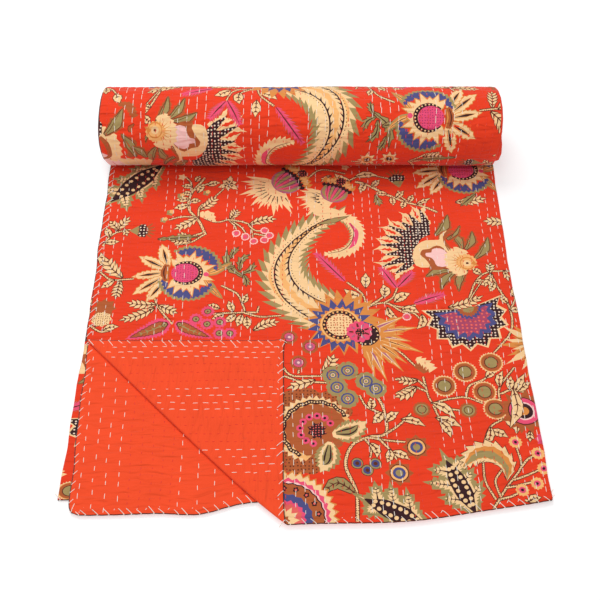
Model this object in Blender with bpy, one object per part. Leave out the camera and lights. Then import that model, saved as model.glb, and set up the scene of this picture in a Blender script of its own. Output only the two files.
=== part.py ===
"""Kantha quilt: folded in four across its width, rolled up from its far end, one front corner turned back.

Metres, +Z up. The origin is the middle of the footprint, on the surface that the quilt lies on. The front edge is at
-Y and the roll at +Y. The cloth is one sheet, measured by two lengths on it: `across` runs over its width, through
all four layers, and `along` runs from the front edge towards the roll.
"""

import math

import bpy
from mathutils import Vector
from mathutils.geometry import delaunay_2d_cdt

# The quilt as it was cut, and how it is folded.
QUILT_WIDTH = 2.290
LAYERS = 4
LAYER_WIDTH = QUILT_WIDTH / LAYERS
THICKNESS = 0.0010
TURNED_BACK = 0.260  # legs of the corner that is folded over

# The stack of layers that lies flat.
FLAT_RUN = 0.598  # from the front edge to the line under the roll's axis
PITCH_FRONT = 0.0019  # from one layer to the next at the front edge
PITCH_ROOT = 0.00130  # the same where the layers go under the roll
STACK_WAVE = 0.16  # share by which the pitch rises and falls
ROOT_LIFT = 0.0004  # lifts the lowest layer into the roll
ROOT_EASE = 0.030  # length of that lift
ROOT_OVERLAP = 0.010  # how far the layers reach into the roll
INNER_FOLD_INSET = 0.0024  # the inner fold on the right lies this far inside the outer one

# The corner that is folded over.
BEND_RADIUS = 0.0017
FLAP_REST = 0.0016  # from the top layer to the flap that lies on it, middle to middle
FLAP_SETTLE = 0.022  # the flap sinks to that height over this length
FLAP_MARGIN = 0.004  # the top layer is flat under the flap and this far around it
CORNER_MARGIN = 0.030  # the second layer is flat this near to the fold of the flap

# The roll. Its outer turn starts under the axis, goes up behind and comes down in front.
ROLL_RADIUS = 0.0590
TURN_PITCH = 0.0046  # four layers, wound tight
ROLL_LEFT = -0.2885
ROLL_RIGHT = 0.2855
ROLL_STEPS = 24
END_DISH = 0.0035  # the ends are hollow by this much towards the axis
END_ROUND = 0.0030
FLOOR_SPOT = 0.006  # half length of the flat spot under the roll

# Rows of stitches run along the quilt. Thick white thread makes groups of four, thin red thread fills between.
GROUP_START = -0.005
GROUP_PITCH = 0.091
GROUP_ROWS = 4
ROW_PITCH = 0.012
PLAIN_RIDGES = 3
WHITE_PUFF = 0.0007  # how far the cloth stands up between white rows
RED_PUFF = 0.0004

# Mesh lines.
ALONG_STEP = 0.066
COARSE_ACROSS = 6
FOLD_STEPS = 6
BEND_STEPS = 4
OUTER_FOLD_HALF = 0.0042  # half the cloth that goes round the outer fold on the right
INNER_FOLD_HALF = 0.0016

# How the edges lie, as seen from above.
LEFT_FAR = -0.287
RIGHT_FAR = 0.2822
FLARE_LENGTH = 0.42
# Each layer's left edge moves by `left` and its right edge by `right` at the front, and its front edge lies `near`,
# `middle` and `far` behind the front line at its left end, middle and right end.
EDGES = {
    "top": {"left": 0.004, "right": 0.012, "near": 0.000, "middle": 0.000, "far": 0.033},
    "second": {"left": 0.014, "right": 0.010, "near": 0.014, "middle": 0.022, "far": 0.034},
    "third": {"left": -0.007, "right": 0.010, "near": 0.034, "middle": 0.026, "far": 0.034},
    "bottom": {"left": -0.007, "right": 0.012, "near": 0.034, "middle": 0.026, "far": 0.033},
}
EDGE_FADE = 0.30  # length over which the front edge's shape fades out
HEIGHT_ORDER = ("bottom", "third", "second", "top")

CENTRE_X = -0.00026
CENTRE_Y = 0.3282
ORANGE_RED = (0.80, 0.055, 0.016, 1.0)


def mix(a, b, share):
    """The value that lies this share of the way from a to b."""
    return a + (b - a) * share


def eased(share):
    """Goes from 0 to 1 with level ends."""
    share = min(max(share, 0.0), 1.0)
    return share * share * (3.0 - 2.0 * share)


# ---------------------------------------------------------------- quilting


def row_lines(start, end):
    """Lengths across the cloth of each row of stitches and each ridge between rows, from start to end."""
    white_width = (GROUP_ROWS - 1) * ROW_PITCH
    plain_step = (GROUP_PITCH - white_width) / (2 * PLAIN_RIDGES)
    lines = []
    first = math.floor((start - GROUP_START) / GROUP_PITCH)
    last = math.ceil((end - GROUP_START) / GROUP_PITCH)
    for group in range(first, last + 1):
        origin = GROUP_START + group * GROUP_PITCH
        lines += [origin + half * ROW_PITCH / 2 for half in range(2 * (GROUP_ROWS - 1) + 1)]
        lines += [origin + white_width + step * plain_step for step in range(1, 2 * PLAIN_RIDGES)]
    margin = ROW_PITCH / 4
    return [line for line in lines if start + margin < line < end - margin]


def puff(across):
    """How far the quilting lifts the cloth there."""
    white_width = (GROUP_ROWS - 1) * ROW_PITCH
    inside = (across - GROUP_START) % GROUP_PITCH
    if inside < white_width:
        return WHITE_PUFF * (1 - math.cos(2 * math.pi * inside / ROW_PITCH)) / 2
    plain_pitch = (GROUP_PITCH - white_width) / PLAIN_RIDGES
    return RED_PUFF * (1 - math.cos(2 * math.pi * (inside - white_width) / plain_pitch)) / 2


# ---------------------------------------------------------------- the flat stack


def plan(layer, inward, back):
    """Where a point of a layer lies seen from above, from its place across and along that layer."""
    edge = EDGES[layer]
    share = inward / LAYER_WIDTH
    flare = max(0.0, 1.0 - back / FLARE_LENGTH)
    left = LEFT_FAR + edge["left"] * flare
    right = RIGHT_FAR + edge["right"] * flare
    if share < 0.5:
        front = mix(edge["near"], edge["middle"], eased(2 * share))
    else:
        front = mix(edge["middle"], edge["far"], (2 * share - 1) ** 2)
    fade = max(0.0, 1.0 - back / EDGE_FADE) ** 2
    return mix(left, right, share), back + front * fade


def height(layer, x, y):
    """Height of the middle of a layer above the surface that the quilt lies on."""
    pitch = mix(PITCH_FRONT, PITCH_ROOT, eased(y / FLAT_RUN))
    level = THICKNESS / 2 + ROOT_LIFT * eased(1 + (y - FLAT_RUN) / ROOT_EASE)
    calm = 1.0 - eased(y / FLAT_RUN)
    for step in range(HEIGHT_ORDER.index(layer)):
        wave = math.sin(13 * x + 2.1 * step) * math.cos(11 * y - 1.7 * step + 6 * x)
        level += pitch * (1 + STACK_WAVE * calm * wave)
    return level


def turned_back(across, along):
    """The place on the top layer above which a point of the folded corner comes to lie, and how far above it."""
    beyond = (TURNED_BACK - across - along) / math.sqrt(2)
    if beyond <= 0:
        return across, along, 0.0
    half_turn = math.pi * BEND_RADIUS
    if beyond < half_turn:
        reach = BEND_RADIUS * math.sin(beyond / BEND_RADIUS)
        lift = BEND_RADIUS * (1 - math.cos(beyond / BEND_RADIUS))
    else:
        reach = half_turn - beyond
        lift = mix(FLAP_REST, 2 * BEND_RADIUS, math.exp(reach / FLAP_SETTLE))
    shift = (beyond - reach) / math.sqrt(2)
    return across + shift, along + shift, lift


def fold_point(outer, inner, inward, back, angle):
    """A point on the half circle that joins two layers, from `outer` at angle 0 to `inner` at half a turn."""
    side = 1.0 if inward > LAYER_WIDTH / 2 else -1.0
    x_outer, y_outer = plan(outer, inward, back)
    x_inner, y_inner = plan(inner, inward, back)
    z_outer = height(outer, x_outer, y_outer)
    z_inner = height(inner, x_inner, y_inner)
    share = (1 - math.cos(angle)) / 2
    bulge = side * abs(z_outer - z_inner) / 2 * math.sin(angle)
    return Vector((
        mix(x_outer, x_inner, share) + bulge,
        mix(y_outer, y_inner, share),
        mix(z_outer, z_inner, share),
    ))


def on_layer(layer, inward, back, lift=0.0):
    """A point on the straight run of one layer."""
    x, y = plan(layer, inward, back)
    return Vector((x, y, height(layer, x, y) + lift))


def cloth_point(across, along):
    """Where a point of the cloth's middle lies."""
    fold_right = LAYER_WIDTH
    fold_left = 2 * LAYER_WIDTH
    fold_inner = 3 * LAYER_WIDTH
    outer_run = LAYER_WIDTH - OUTER_FOLD_HALF
    inner_run = LAYER_WIDTH - INNER_FOLD_INSET - INNER_FOLD_HALF
    if across < fold_right - OUTER_FOLD_HALF:
        inward, back, lift = turned_back(across, along)
        under_flap = across + along > TURNED_BACK and max(across, along) < TURNED_BACK + FLAP_MARGIN
        return on_layer("top", inward, back, lift if under_flap else lift + puff(across))
    if across < fold_right + OUTER_FOLD_HALF:
        angle = math.pi * (across - fold_right + OUTER_FOLD_HALF) / (2 * OUTER_FOLD_HALF)
        return fold_point("top", "bottom", outer_run, along, angle)
    if across < fold_left - INNER_FOLD_HALF:
        return on_layer("bottom", 2 * LAYER_WIDTH - across, along)
    if across < fold_left + INNER_FOLD_HALF:
        angle = math.pi * (across - fold_left + INNER_FOLD_HALF) / (2 * INNER_FOLD_HALF)
        return fold_point("bottom", "third", INNER_FOLD_HALF, along, angle)
    if across < fold_inner - INNER_FOLD_HALF:
        share = (across - fold_left) / LAYER_WIDTH
        return on_layer("third", mix(0.0, inner_run + INNER_FOLD_HALF, share), along)
    if across < fold_inner + INNER_FOLD_HALF:
        angle = math.pi * (across - fold_inner + INNER_FOLD_HALF) / (2 * INNER_FOLD_HALF)
        return fold_point("third", "second", inner_run, along, angle)
    share = (QUILT_WIDTH - across) / LAYER_WIDTH
    corner = (QUILT_WIDTH - across) + along < TURNED_BACK - CORNER_MARGIN
    lift = puff(across) if corner else 0.0
    return on_layer("second", mix(0.0, inner_run + INNER_FOLD_HALF, share), along, lift)


def cloth_normal(across, along):
    """The direction that the printed face looks in."""
    step = THICKNESS / 20
    east = cloth_point(across + step, along) - cloth_point(across - step, along)
    north = cloth_point(across, along + step) - cloth_point(across, along - step)
    return east.cross(north).normalized()


# ---------------------------------------------------------------- mesh lines on the cloth


def even_lines(start, end, count):
    """Evenly spaced lengths from start to end, both of them in."""
    return [mix(start, end, step / count) for step in range(count + 1)]


def cloth_lines():
    """The straight lines on the flat cloth along which its mesh is cut, as pairs of points."""
    length = FLAT_RUN + ROOT_OVERLAP
    lines = []

    def along_line(across, start=0.0, end=length):
        lines.append(((across, start), (across, end)))

    for across in [0.0, QUILT_WIDTH]:
        along_line(across)
    for across in row_lines(0.0, LAYER_WIDTH - OUTER_FOLD_HALF):
        along_line(across)
    for across in row_lines(QUILT_WIDTH - TURNED_BACK, QUILT_WIDTH):
        along_line(across, 0.0, TURNED_BACK - (QUILT_WIDTH - across))
    folds = {
        LAYER_WIDTH: OUTER_FOLD_HALF,
        2 * LAYER_WIDTH: INNER_FOLD_HALF,
        3 * LAYER_WIDTH: INNER_FOLD_HALF,
    }
    for middle, half in folds.items():
        for across in even_lines(middle - half, middle + half, FOLD_STEPS):
            along_line(across)
        for across in even_lines(middle + half, middle + LAYER_WIDTH - half, COARSE_ACROSS)[1:-1]:
            along_line(across)

    cuts = even_lines(0.0, FLAT_RUN - ROOT_EASE, round(FLAT_RUN / ALONG_STEP))
    for back in cuts + [FLAT_RUN - ROOT_EASE / 2, FLAT_RUN, length]:
        lines.append(((0.0, back), (QUILT_WIDTH, back)))

    for step in range(BEND_STEPS + 1):
        leg = TURNED_BACK - math.sqrt(2) * math.pi * BEND_RADIUS * step / BEND_STEPS
        lines.append(((0.0, leg), (leg, 0.0)))
    settled = TURNED_BACK - math.sqrt(2) * (math.pi * BEND_RADIUS + FLAP_SETTLE)
    lines.append(((0.0, settled), (settled, 0.0)))
    return lines


def cut_cloth():
    """Points and triangles of the flat cloth, cut along cloth_lines."""
    points = [Vector(end) for line in cloth_lines() for end in line]
    edges = [(2 * n, 2 * n + 1) for n in range(len(points) // 2)]
    cut = delaunay_2d_cdt(points, edges, [], 0, 1e-6)
    return cut[0], cut[2]


def rim_edges(triangles):
    """The edges that only one triangle uses, in that triangle's direction."""
    used = {}
    for triangle in triangles:
        for a, b in zip(triangle, triangle[1:] + triangle[:1], strict=True):
            used[(a, b)] = (b, a)
    return [edge for edge, back in used.items() if back not in used]


def folded_layers():
    """The four layers and the turned-back corner, as one closed sheet."""
    places, triangles = cut_cloth()
    triangles = [tuple(triangle) for triangle in triangles]
    inset = THICKNESS / 10
    length = FLAT_RUN + ROOT_OVERLAP
    printed, backing = [], []
    for across, along in places:
        middle = cloth_point(across, along)
        safe_across = min(max(across, inset), QUILT_WIDTH - inset)
        safe_along = min(max(along, inset), length - inset)
        normal = cloth_normal(safe_across, safe_along)
        printed.append(middle + normal * THICKNESS / 2)
        backing.append(middle - normal * THICKNESS / 2)
    count = len(places)
    faces = list(triangles)
    faces += [(c + count, b + count, a + count) for a, b, c in triangles]
    faces += [(b, a, a + count, b + count) for a, b in rim_edges(triangles)]
    return make_mesh("folded_layers", printed + backing, faces)


# ---------------------------------------------------------------- the roll


def roll_outline():
    """The outer turn as (back, up) from the point under the axis: a spiral that comes in by one turn's pitch."""
    outline = []
    for step in range(ROLL_STEPS + 1):
        turn = step / ROLL_STEPS
        radius = ROLL_RADIUS - TURN_PITCH * turn
        angle = 2 * math.pi * turn
        outline.append((radius * math.sin(angle), ROLL_RADIUS - radius * math.cos(angle)))
    outline.insert(1, (FLOOR_SPOT, 0.0))
    outline[0] = (0.0, 0.0)
    return outline


def roll_columns():
    """Where the roll's mesh is cut across the quilt: (x, puff, share of the radius that is left)."""
    columns = []
    for across in row_lines(LAYER_WIDTH + 0.006, 2 * LAYER_WIDTH - 0.006):
        x = mix(ROLL_RIGHT, ROLL_LEFT, (across - LAYER_WIDTH) / LAYER_WIDTH)
        columns.append((x, puff(across), 1.0))
    columns.sort()
    end_share = 1 - END_ROUND / ROLL_RADIUS / 2
    return [(ROLL_LEFT, 0.0, end_share), *columns, (ROLL_RIGHT, 0.0, end_share)]


def wound_roll():
    """The roll as one solid, with a step in front where the four layers go under it."""
    outline = roll_outline()
    count = len(outline)
    points, faces = [], []
    for x, lift, share in roll_columns():
        for back, up in outline:
            away = math.hypot(back, up - ROLL_RADIUS)
            grown = share * (away + lift) / away
            points.append(Vector((
                x,
                FLAT_RUN + back * grown,
                max(0.0, ROLL_RADIUS + (up - ROLL_RADIUS) * grown),
            )))
    columns = len(points) // count
    for column in range(columns - 1):
        for here in range(count):
            there = (here + 1) % count
            a, b = column * count + here, column * count + there
            faces.append((a, b, b + count, a + count))
    ends = ((0, ROLL_LEFT + END_DISH, False), (columns - 1, ROLL_RIGHT - END_DISH, True))
    for column, x, flip in ends:
        hub = len(points)
        points.append(Vector((x, FLAT_RUN, ROLL_RADIUS)))
        for here in range(count):
            a, b = column * count + here, column * count + (here + 1) % count
            faces.append((hub, a, b) if flip else (hub, b, a))
    return make_mesh("wound_roll", points, faces)


# ---------------------------------------------------------------- objects


def make_mesh(name, points, faces):
    """A mesh with its origin at the middle of the quilt's footprint."""
    middle = Vector((CENTRE_X, CENTRE_Y, 0.0))
    mesh = bpy.data.meshes.new(name)
    mesh.from_pydata([point - middle for point in points], [], faces)
    mesh.validate()
    return mesh


def add_object(name, mesh):
    """Puts a mesh in the scene."""
    thing = bpy.data.objects.new(name, mesh)
    bpy.context.collection.objects.link(thing)
    return thing


def quilt_cotton():
    """Plain-woven cotton, dull and orange-red."""
    material = bpy.data.materials.new("quilted_cotton")
    material.use_nodes = True
    surface = material.node_tree.nodes["Principled BSDF"]
    surface.inputs["Base Color"].default_value = ORANGE_RED
    surface.inputs["Roughness"].default_value = 0.85
    surface.inputs["Metallic"].default_value = 0.0
    return material


def build_quilt():
    """One sheet of cloth: the layers that lie flat, joined to the roll that they run into."""
    roll = add_object("roll_to_join", wound_roll())
    roll.hide_render = True
    roll.display_type = "WIRE"
    quilt = add_object("quilt", folded_layers())
    join = quilt.modifiers.new("join_roll", "BOOLEAN")
    join.operation = "UNION"
    join.object = roll
    quilt.data.materials.append(quilt_cotton())
    return quilt


def main():
    """Clears the scene and builds the quilt."""
    for thing in list(bpy.data.objects):
        bpy.data.objects.remove(thing)
    build_quilt()


main()
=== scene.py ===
"""A kantha quilt, folded in four, rolled up from its far end, with one front corner turned back.

The quilt is one real sheet of cloth, 2.29 m by 2.74 m. Its places are measured on the cloth: `across` over
its width, through all four layers, and `along` from the front edge towards the roll. FoldedStrip turns such a
place into a point in the room. The print is drawn flat, as a dyer's blocks would lay it, and the mesh of the
cloth is cut along the outlines of the print, so that each triangle carries one ink.
"""

import logging
import math
from collections.abc import Callable, Iterable, Sequence
from dataclasses import dataclass, field
from enum import Enum

import bmesh
import bpy
import numpy as np
from bpy.types import Material, Mesh, Node, NodeSocket, NodeTree, Object
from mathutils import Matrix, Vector
from mathutils.geometry import delaunay_2d_cdt


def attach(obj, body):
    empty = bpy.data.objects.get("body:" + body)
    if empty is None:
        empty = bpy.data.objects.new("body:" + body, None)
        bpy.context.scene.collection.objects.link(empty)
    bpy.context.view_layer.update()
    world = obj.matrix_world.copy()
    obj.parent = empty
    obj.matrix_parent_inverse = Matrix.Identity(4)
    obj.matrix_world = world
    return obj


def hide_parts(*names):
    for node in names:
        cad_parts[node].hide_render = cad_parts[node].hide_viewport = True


logging.basicConfig(level=logging.INFO, format="%(message)s")
log = logging.getLogger("quilt")

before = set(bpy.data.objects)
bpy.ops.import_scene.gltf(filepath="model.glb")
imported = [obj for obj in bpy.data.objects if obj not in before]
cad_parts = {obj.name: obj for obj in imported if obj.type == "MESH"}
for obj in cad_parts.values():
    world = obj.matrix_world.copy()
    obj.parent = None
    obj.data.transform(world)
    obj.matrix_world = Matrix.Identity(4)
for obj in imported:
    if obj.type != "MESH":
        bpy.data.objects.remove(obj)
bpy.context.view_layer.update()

Array = np.ndarray
Place = tuple[float, float]
Outline = list[complex]


# ---------------- small helpers


def linear(colour: str) -> tuple[float, float, float, float]:
    """Turns an sRGB hex colour with a leading # into linear RGBA, with alpha 1."""
    parts = [int(colour[n : n + 2], 16) / 255 for n in (1, 3, 5)]
    return (*[c / 12.92 if c <= 0.04045 else ((c + 0.055) / 1.055) ** 2.4 for c in parts], 1.0)


def eased(share: Array) -> Array:
    """Goes from 0 to 1 with level ends."""
    share = np.clip(share, 0.0, 1.0)
    return share * share * (3.0 - 2.0 * share)


def add_node(tree: NodeTree, kind: str, inputs: dict | None = None, **settings: object) -> Node:
    """Adds a node with its settings, values and links.

    Args:
        tree: the node tree it goes into.
        kind: the node's type name.
        inputs: socket name or number to a value, or to an output socket or a node that is linked to it. Of a
            node it takes the first output in use.
        settings: the node's own properties.

    Returns:
        The new node.
    """
    node = tree.nodes.new(kind)
    for name, value in settings.items():
        setattr(node, name, value)
    for name, value in (inputs or {}).items():
        if isinstance(value, Node):
            value = next(output for output in value.outputs if output.enabled)
        if isinstance(value, NodeSocket):
            tree.links.new(value, node.inputs[name])
        else:
            node.inputs[name].default_value = value
    return node


def make_object(name: str, data: object) -> Object:
    """Puts a mesh, lamp or camera in the scene as an object at the origin.

    Args:
        name: the object's name.
        data: the mesh, lamp or camera.

    Returns:
        The object.
    """
    thing = bpy.data.objects.new(name, data)
    bpy.context.collection.objects.link(thing)
    return thing


# ---------------- how the cloth lies


@dataclass(frozen=True)
class FoldedStrip:
    """Where each place of the cloth lies. Lengths are in metres.

    `across` runs over the top layer from its left edge, round the outer right fold to the bottom layer, round
    the left fold to the third layer, and round the inner right fold to the second layer. `along` runs from
    the front edge.
    """

    layer: float = 0.5725
    layers: int = 4
    length: float = 2.74
    thickness: float = 0.0010
    # The turned-back corner's leg, and the length of the strip that lies flat before the roll.
    turned_back: float = 0.260
    flat_run: float = 0.598
    # From one layer to the next, at the front and by the roll.
    pitch_front: float = 0.0019
    pitch_root: float = 0.00115
    outer_half: float = 0.0042
    inner_half: float = 0.0016
    inner_inset: float = 0.0024
    bend_radius: float = 0.0017
    corner_pull: float = 0.0035
    corner_reach: float = 0.018
    flap_rest: float = 0.0016
    # How far the corner's fold bows out of a straight line, and over what length that fades into the flap.
    fold_bow: float = 0.0072
    bow_fade: float = 0.05
    flap_settle: float = 0.022
    roll_radius: float = 0.0590
    turn_pitch: float = 0.0046
    roll_pitch: float = 0.00115
    left_far: float = -0.287
    right_far: float = 0.2822
    flare: float = 0.42
    edge_fade: float = 0.30
    centre: Place = (-0.00026, 0.3282)
    # For the bottom, third, second and top layer: how far the left and right edges stand out at the front,
    # and how far the front edge lies behind the front line at its left end, middle and right end.
    edges: tuple[tuple[float, ...], ...] = (
        (-0.007, 0.012, 0.034, 0.034, 0.034),
        (-0.007, 0.010, 0.034, 0.034, 0.035),
        (0.009, 0.010, 0.011, 0.032, 0.036),
        (0.004, 0.012, 0.000, 0.000, 0.033),
    )
    # The second layer's front edge bulges forwards: where, as a share of the width, how wide and how far.
    bulge_place: float = 0.27
    bulge_half: float = 0.065
    bulge_reach: float = 0.0092
    # Soft creases of the top layer: from and to (across, along), half width and depth.
    creases: tuple[tuple[float, ...], ...] = (
        (0.09, 0.423, 0.24, 0.436, 0.006, 0.0011),
        (0.03, 0.300, 0.20, 0.309, 0.005, 0.0012),
        (0.12, 0.322, 0.26, 0.332, 0.006, 0.0009),
        (0.26, 0.268, 0.35, 0.254, 0.005, 0.0013),
        (0.41, 0.264, 0.48, 0.268, 0.006, 0.0011),
        (0.30, 0.030, 0.37, 0.022, 0.007, 0.0012),
        (0.02, 0.480, 0.16, 0.472, 0.008, 0.0007),
        (0.36, 0.455, 0.56, 0.468, 0.007, 0.0006),
        (0.38, 0.160, 0.57, 0.172, 0.008, 0.0006),
        (0.45, 0.080, 0.56, 0.074, 0.007, 0.0008),
    )

    @property
    def width(self) -> float:
        """The quilt's whole width."""
        return self.layer * self.layers

    def section(self, across: Array) -> tuple[Array, Array, Array]:
        """Where a place lies in the cut across the four layers.

        Args:
            across: lengths over the cloth.

        Returns:
            The share of the way from left to right, the layer's level from 0 at the bottom to 3 on top, and
            how far it bulges past the fold, in steps between layers and to the right.
        """
        w, outer, inner = self.layer, self.outer_half, self.inner_half
        bends = (w - outer, w + outer, 2 * w - inner, 2 * w + inner, 3 * w - inner, 3 * w + inner)
        stops = [stop / w for stop in (w - outer, inner, w - self.inner_inset - inner) for _ in range(2)]
        share = np.interp(across, (0, *bends, 4 * w), (0, *stops, 0))
        phase = np.interp(across, bends, (0, 1, 1, 2, 2, 3))
        fold = np.minimum(phase, 2.9).astype(int)
        turn = math.pi * (phase - fold)
        level = np.interp(fold + (1 - np.cos(turn)) / 2, range(4), (3, 0, 1, 2))
        return share, level, np.array((1.5, -0.5, 0.5))[fold] * np.sin(turn)

    def fold_corner(self, across: Array, along: Array) -> tuple[Array, Array, Array]:
        """Turns the top layer's front left corner back over the layer.

        Args:
            across: lengths over the cloth.
            along: lengths from the front edge.

        Returns:
            The place above which each point comes to lie, and its height above that place.
        """
        beyond = (self.turned_back - across - along) / math.sqrt(2)
        beyond = beyond - self.bow(across - along) * np.exp(-np.maximum(beyond - 0.012, 0) / self.bow_fade)
        radius = self.bend_radius
        past = np.maximum(beyond - math.pi * radius, 0)
        angle = np.clip(beyond / radius, 0, math.pi)
        lift = radius * (1 - np.cos(angle))
        flat = self.flap_rest + (2 * radius - self.flap_rest) * np.exp(-past / self.flap_settle)
        shift = np.where(beyond > 0, (beyond - radius * np.sin(angle) + past) / math.sqrt(2), 0)
        return across + shift, along + shift, np.where(past > 0, flat, lift)

    def bow(self, place: Array) -> Array:
        """How far the corner's fold lies outside its straight line, by the place along it from its middle."""
        share = np.clip(place / self.turned_back, -1, 1)
        return self.fold_bow * (1 - share**2) * (0.5 + 0.5 * share)

    def roll_angle(self, past: Array) -> Array:
        """The turn by which the cloth has been wound.

        Args:
            past: lengths of cloth past the flat run.

        Returns:
            Radians from under the roll's axis.
        """
        tighten = self.turn_pitch / (2 * math.pi)
        middle = self.roll_radius - self.turn_pitch / 2
        return (middle - np.sqrt(np.maximum(middle**2 - 2 * tighten * past, 1e-6))) / tighten

    def crease_depth(self, across: Array, along: Array) -> Array:
        """How far the soft creases pull the top layer down.

        Args:
            across: lengths over the cloth.
            along: lengths from the front edge.

        Returns:
            Depths, below 0 beside a crease, where the cloth stands up.
        """
        depth = np.zeros_like(across)
        for a0, b0, a1, b1, half, deep in self.creases:
            run = complex(a1 - a0, b1 - b0)
            place = (across - a0 + 1j * (along - b0)) / run
            off = place.imag * abs(run) + 0.0035 * np.sin(5 * place.real + 40 * a0)
            ends = eased(place.real / 0.25) * eased((1 - place.real) / 0.25)
            depth += deep * ends * (np.exp(-((off / half) ** 2)) - 0.45 * np.exp(-((off / half - 1.7) ** 2)))
        return depth

    def outline(self, share: Array, level: Array, back: Array) -> tuple[Array, Array]:
        """Where the flat part of the cloth lies, seen from above.

        Args:
            share: shares of the way from left to right.
            level: the layers' levels.
            back: lengths from the front edge.

        Returns:
            The x of each place, and how far it has moved back.
        """
        columns = zip(*self.edges, strict=True)
        out_left, out_right, near, mid, far = (np.interp(level, range(4), column) for column in columns)
        flare = np.maximum(0, 1 - back / self.flare)
        left = self.left_far + out_left * flare
        x = left + (self.right_far + out_right * flare - left) * share
        left_half = near + (mid - near) * eased(2 * share)
        front = np.where(share < 0.5, left_half, mid + (far - mid) * (2 * share - 1) ** 2)
        second = np.maximum(0, 1 - abs(level - 2))
        bulge = np.exp(-(((share - self.bulge_place) / self.bulge_half) ** 2))
        front = front - self.bulge_reach * second * bulge
        fade = np.maximum(0, 1 - back / self.edge_fade) ** 2
        return x, (front + 0.0011 * np.sin(34 * x + 2.3 * level)) * fade

    def middle(self, across: Array, along: Array, puff: Callable | None = None) -> Array:
        """Points on the cloth's middle surface.

        Args:
            across: lengths over the cloth.
            along: lengths from the front edge.
            puff: gives how far the quilting lifts the cloth at each place.

        Returns:
            One row of x, y and z for each place.
        """
        on_top = across < self.layer - self.outer_half
        moved = zip(self.fold_corner(across, along), (across, along, 0.0), strict=True)
        inward, back, lift = (np.where(on_top, folded, plain) for folded, plain in moved)
        share, level, bulge = self.section(inward)
        x, set_back = self.outline(share, level, back)
        # The four corners are a little rounded.
        from_corner = np.minimum(across, self.width - across) + along
        pulled = self.corner_pull * np.maximum(0, 1 - from_corner / self.corner_reach) ** 2
        y = np.minimum(back, self.flat_run) + set_back + pulled
        # The sides draw in a little at each stitch row and go out between them.
        side = np.sin(y * 96 + 2 * level) * 0.0005 + np.sin(y * 41 + level) * 0.0007
        x = x + pulled + side * (2 * share - 1) ** 9
        near_roll = eased(y / self.flat_run)
        pitch = self.pitch_front + (self.pitch_root - self.pitch_front) * near_roll
        height = self.thickness / 2 + lift
        for step in range(self.layers - 1):
            wave = np.sin(13 * x + 2.1 * step) * np.cos(11 * y - 1.7 * step + 6 * x)
            height = height + pitch * (1 + 0.16 * (1 - near_roll) * wave) * np.clip(level - step, 0, 1)
        x = x + bulge * pitch

        # On the roll the height is measured from the outer turn inwards.
        past = np.maximum(back - self.flat_run, 0)
        wound = past > 0
        angle = self.roll_angle(past)
        radius = self.roll_radius - self.turn_pitch * angle / (2 * math.pi)
        height = np.where(wound, self.thickness / 2 + level * self.roll_pitch, height)
        quilting = 0 * x if puff is None else puff(across, along)
        beyond = self.turned_back - across - along
        under_flap = eased((self.turned_back + 0.004 - np.maximum(across, along)) / 0.004) * (beyond < 0)
        corner = eased((beyond + 2 * across - self.width - 0.012) / 0.02) * (level == 2)
        shown = np.where(on_top, 1 - under_flap, corner) * ~wound
        height = height + quilting * shown - self.crease_depth(inward, back) * (level > 2.9) * ~wound
        outer_turn = eased(past / 0.02) * (angle < 2 * math.pi + 0.6) * (level == 0)
        height = height - quilting * outer_turn
        reach = radius - height + self.roll_softness(share, angle) * (radius > self.roll_radius * 0.8)
        x = np.where(wound, self.roll_side(x, angle), x)
        y = np.where(wound, self.flat_run + reach * np.sin(angle), y)
        z = np.where(wound, self.roll_radius - reach * np.cos(angle), height)
        return np.stack([x - self.centre[0], y - self.centre[1], z], axis=1)

    def roll_softness(self, share: Array, angle: Array) -> Array:
        """How far the roll's surface stands out or in: a hand has pressed it here and there."""
        wave = np.sin(7 * share + 1.3 * angle) * np.sin(3.1 * angle + 2) * 0.0009
        return (wave - 0.0004 * np.cos(19 * share + 2 * angle)) * eased((angle - 0.5) / 1.2)

    def roll_side(self, x: Array, angle: Array) -> Array:
        """Draws the roll's ends in at the top of each turn and lets the turns slip sideways a little.

        Args:
            x: places across.
            angle: the turns by which the cloth has been wound there.

        Returns:
            The new places across.
        """
        turn = angle / (2 * math.pi)
        draw = 1 - 0.006 * eased(np.cos(angle + 2.9) * 0.5 + 0.42) * eased(turn * 3)
        widened = (x + 0.001) * (draw + 0.012 * eased(turn) * np.cos(1.7 * angle))
        return widened - 0.0025 * eased(turn * 4) - 0.001 + 0.0016 * np.sin(2.4 * angle) * eased(turn)

    def surface(
        self, across: Array, along: Array, offset: float, puff: Callable
    ) -> tuple[Array, Array, Array]:
        """Points at a distance from the middle surface, and the directions there.

        Args:
            across: lengths over the cloth.
            along: lengths from the front edge.
            offset: distance from the middle towards the printed face.
            puff: as for middle.

        Returns:
            The points, the printed face's normals, and the unit directions along the quilt.
        """
        step = 2e-4
        u = np.clip(across, step, self.width - step)
        v = np.clip(along, step, self.length - step)
        east = self.middle(u + step, v, puff) - self.middle(u - step, v, puff)
        north = self.middle(u, v + step, puff) - self.middle(u, v - step, puff)
        normal = np.cross(east, north)
        normal /= np.linalg.norm(normal, axis=1, keepdims=True) + 1e-12
        north /= np.linalg.norm(north, axis=1, keepdims=True) + 1e-12
        return self.middle(across, along, puff) + normal * offset, normal, north

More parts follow.
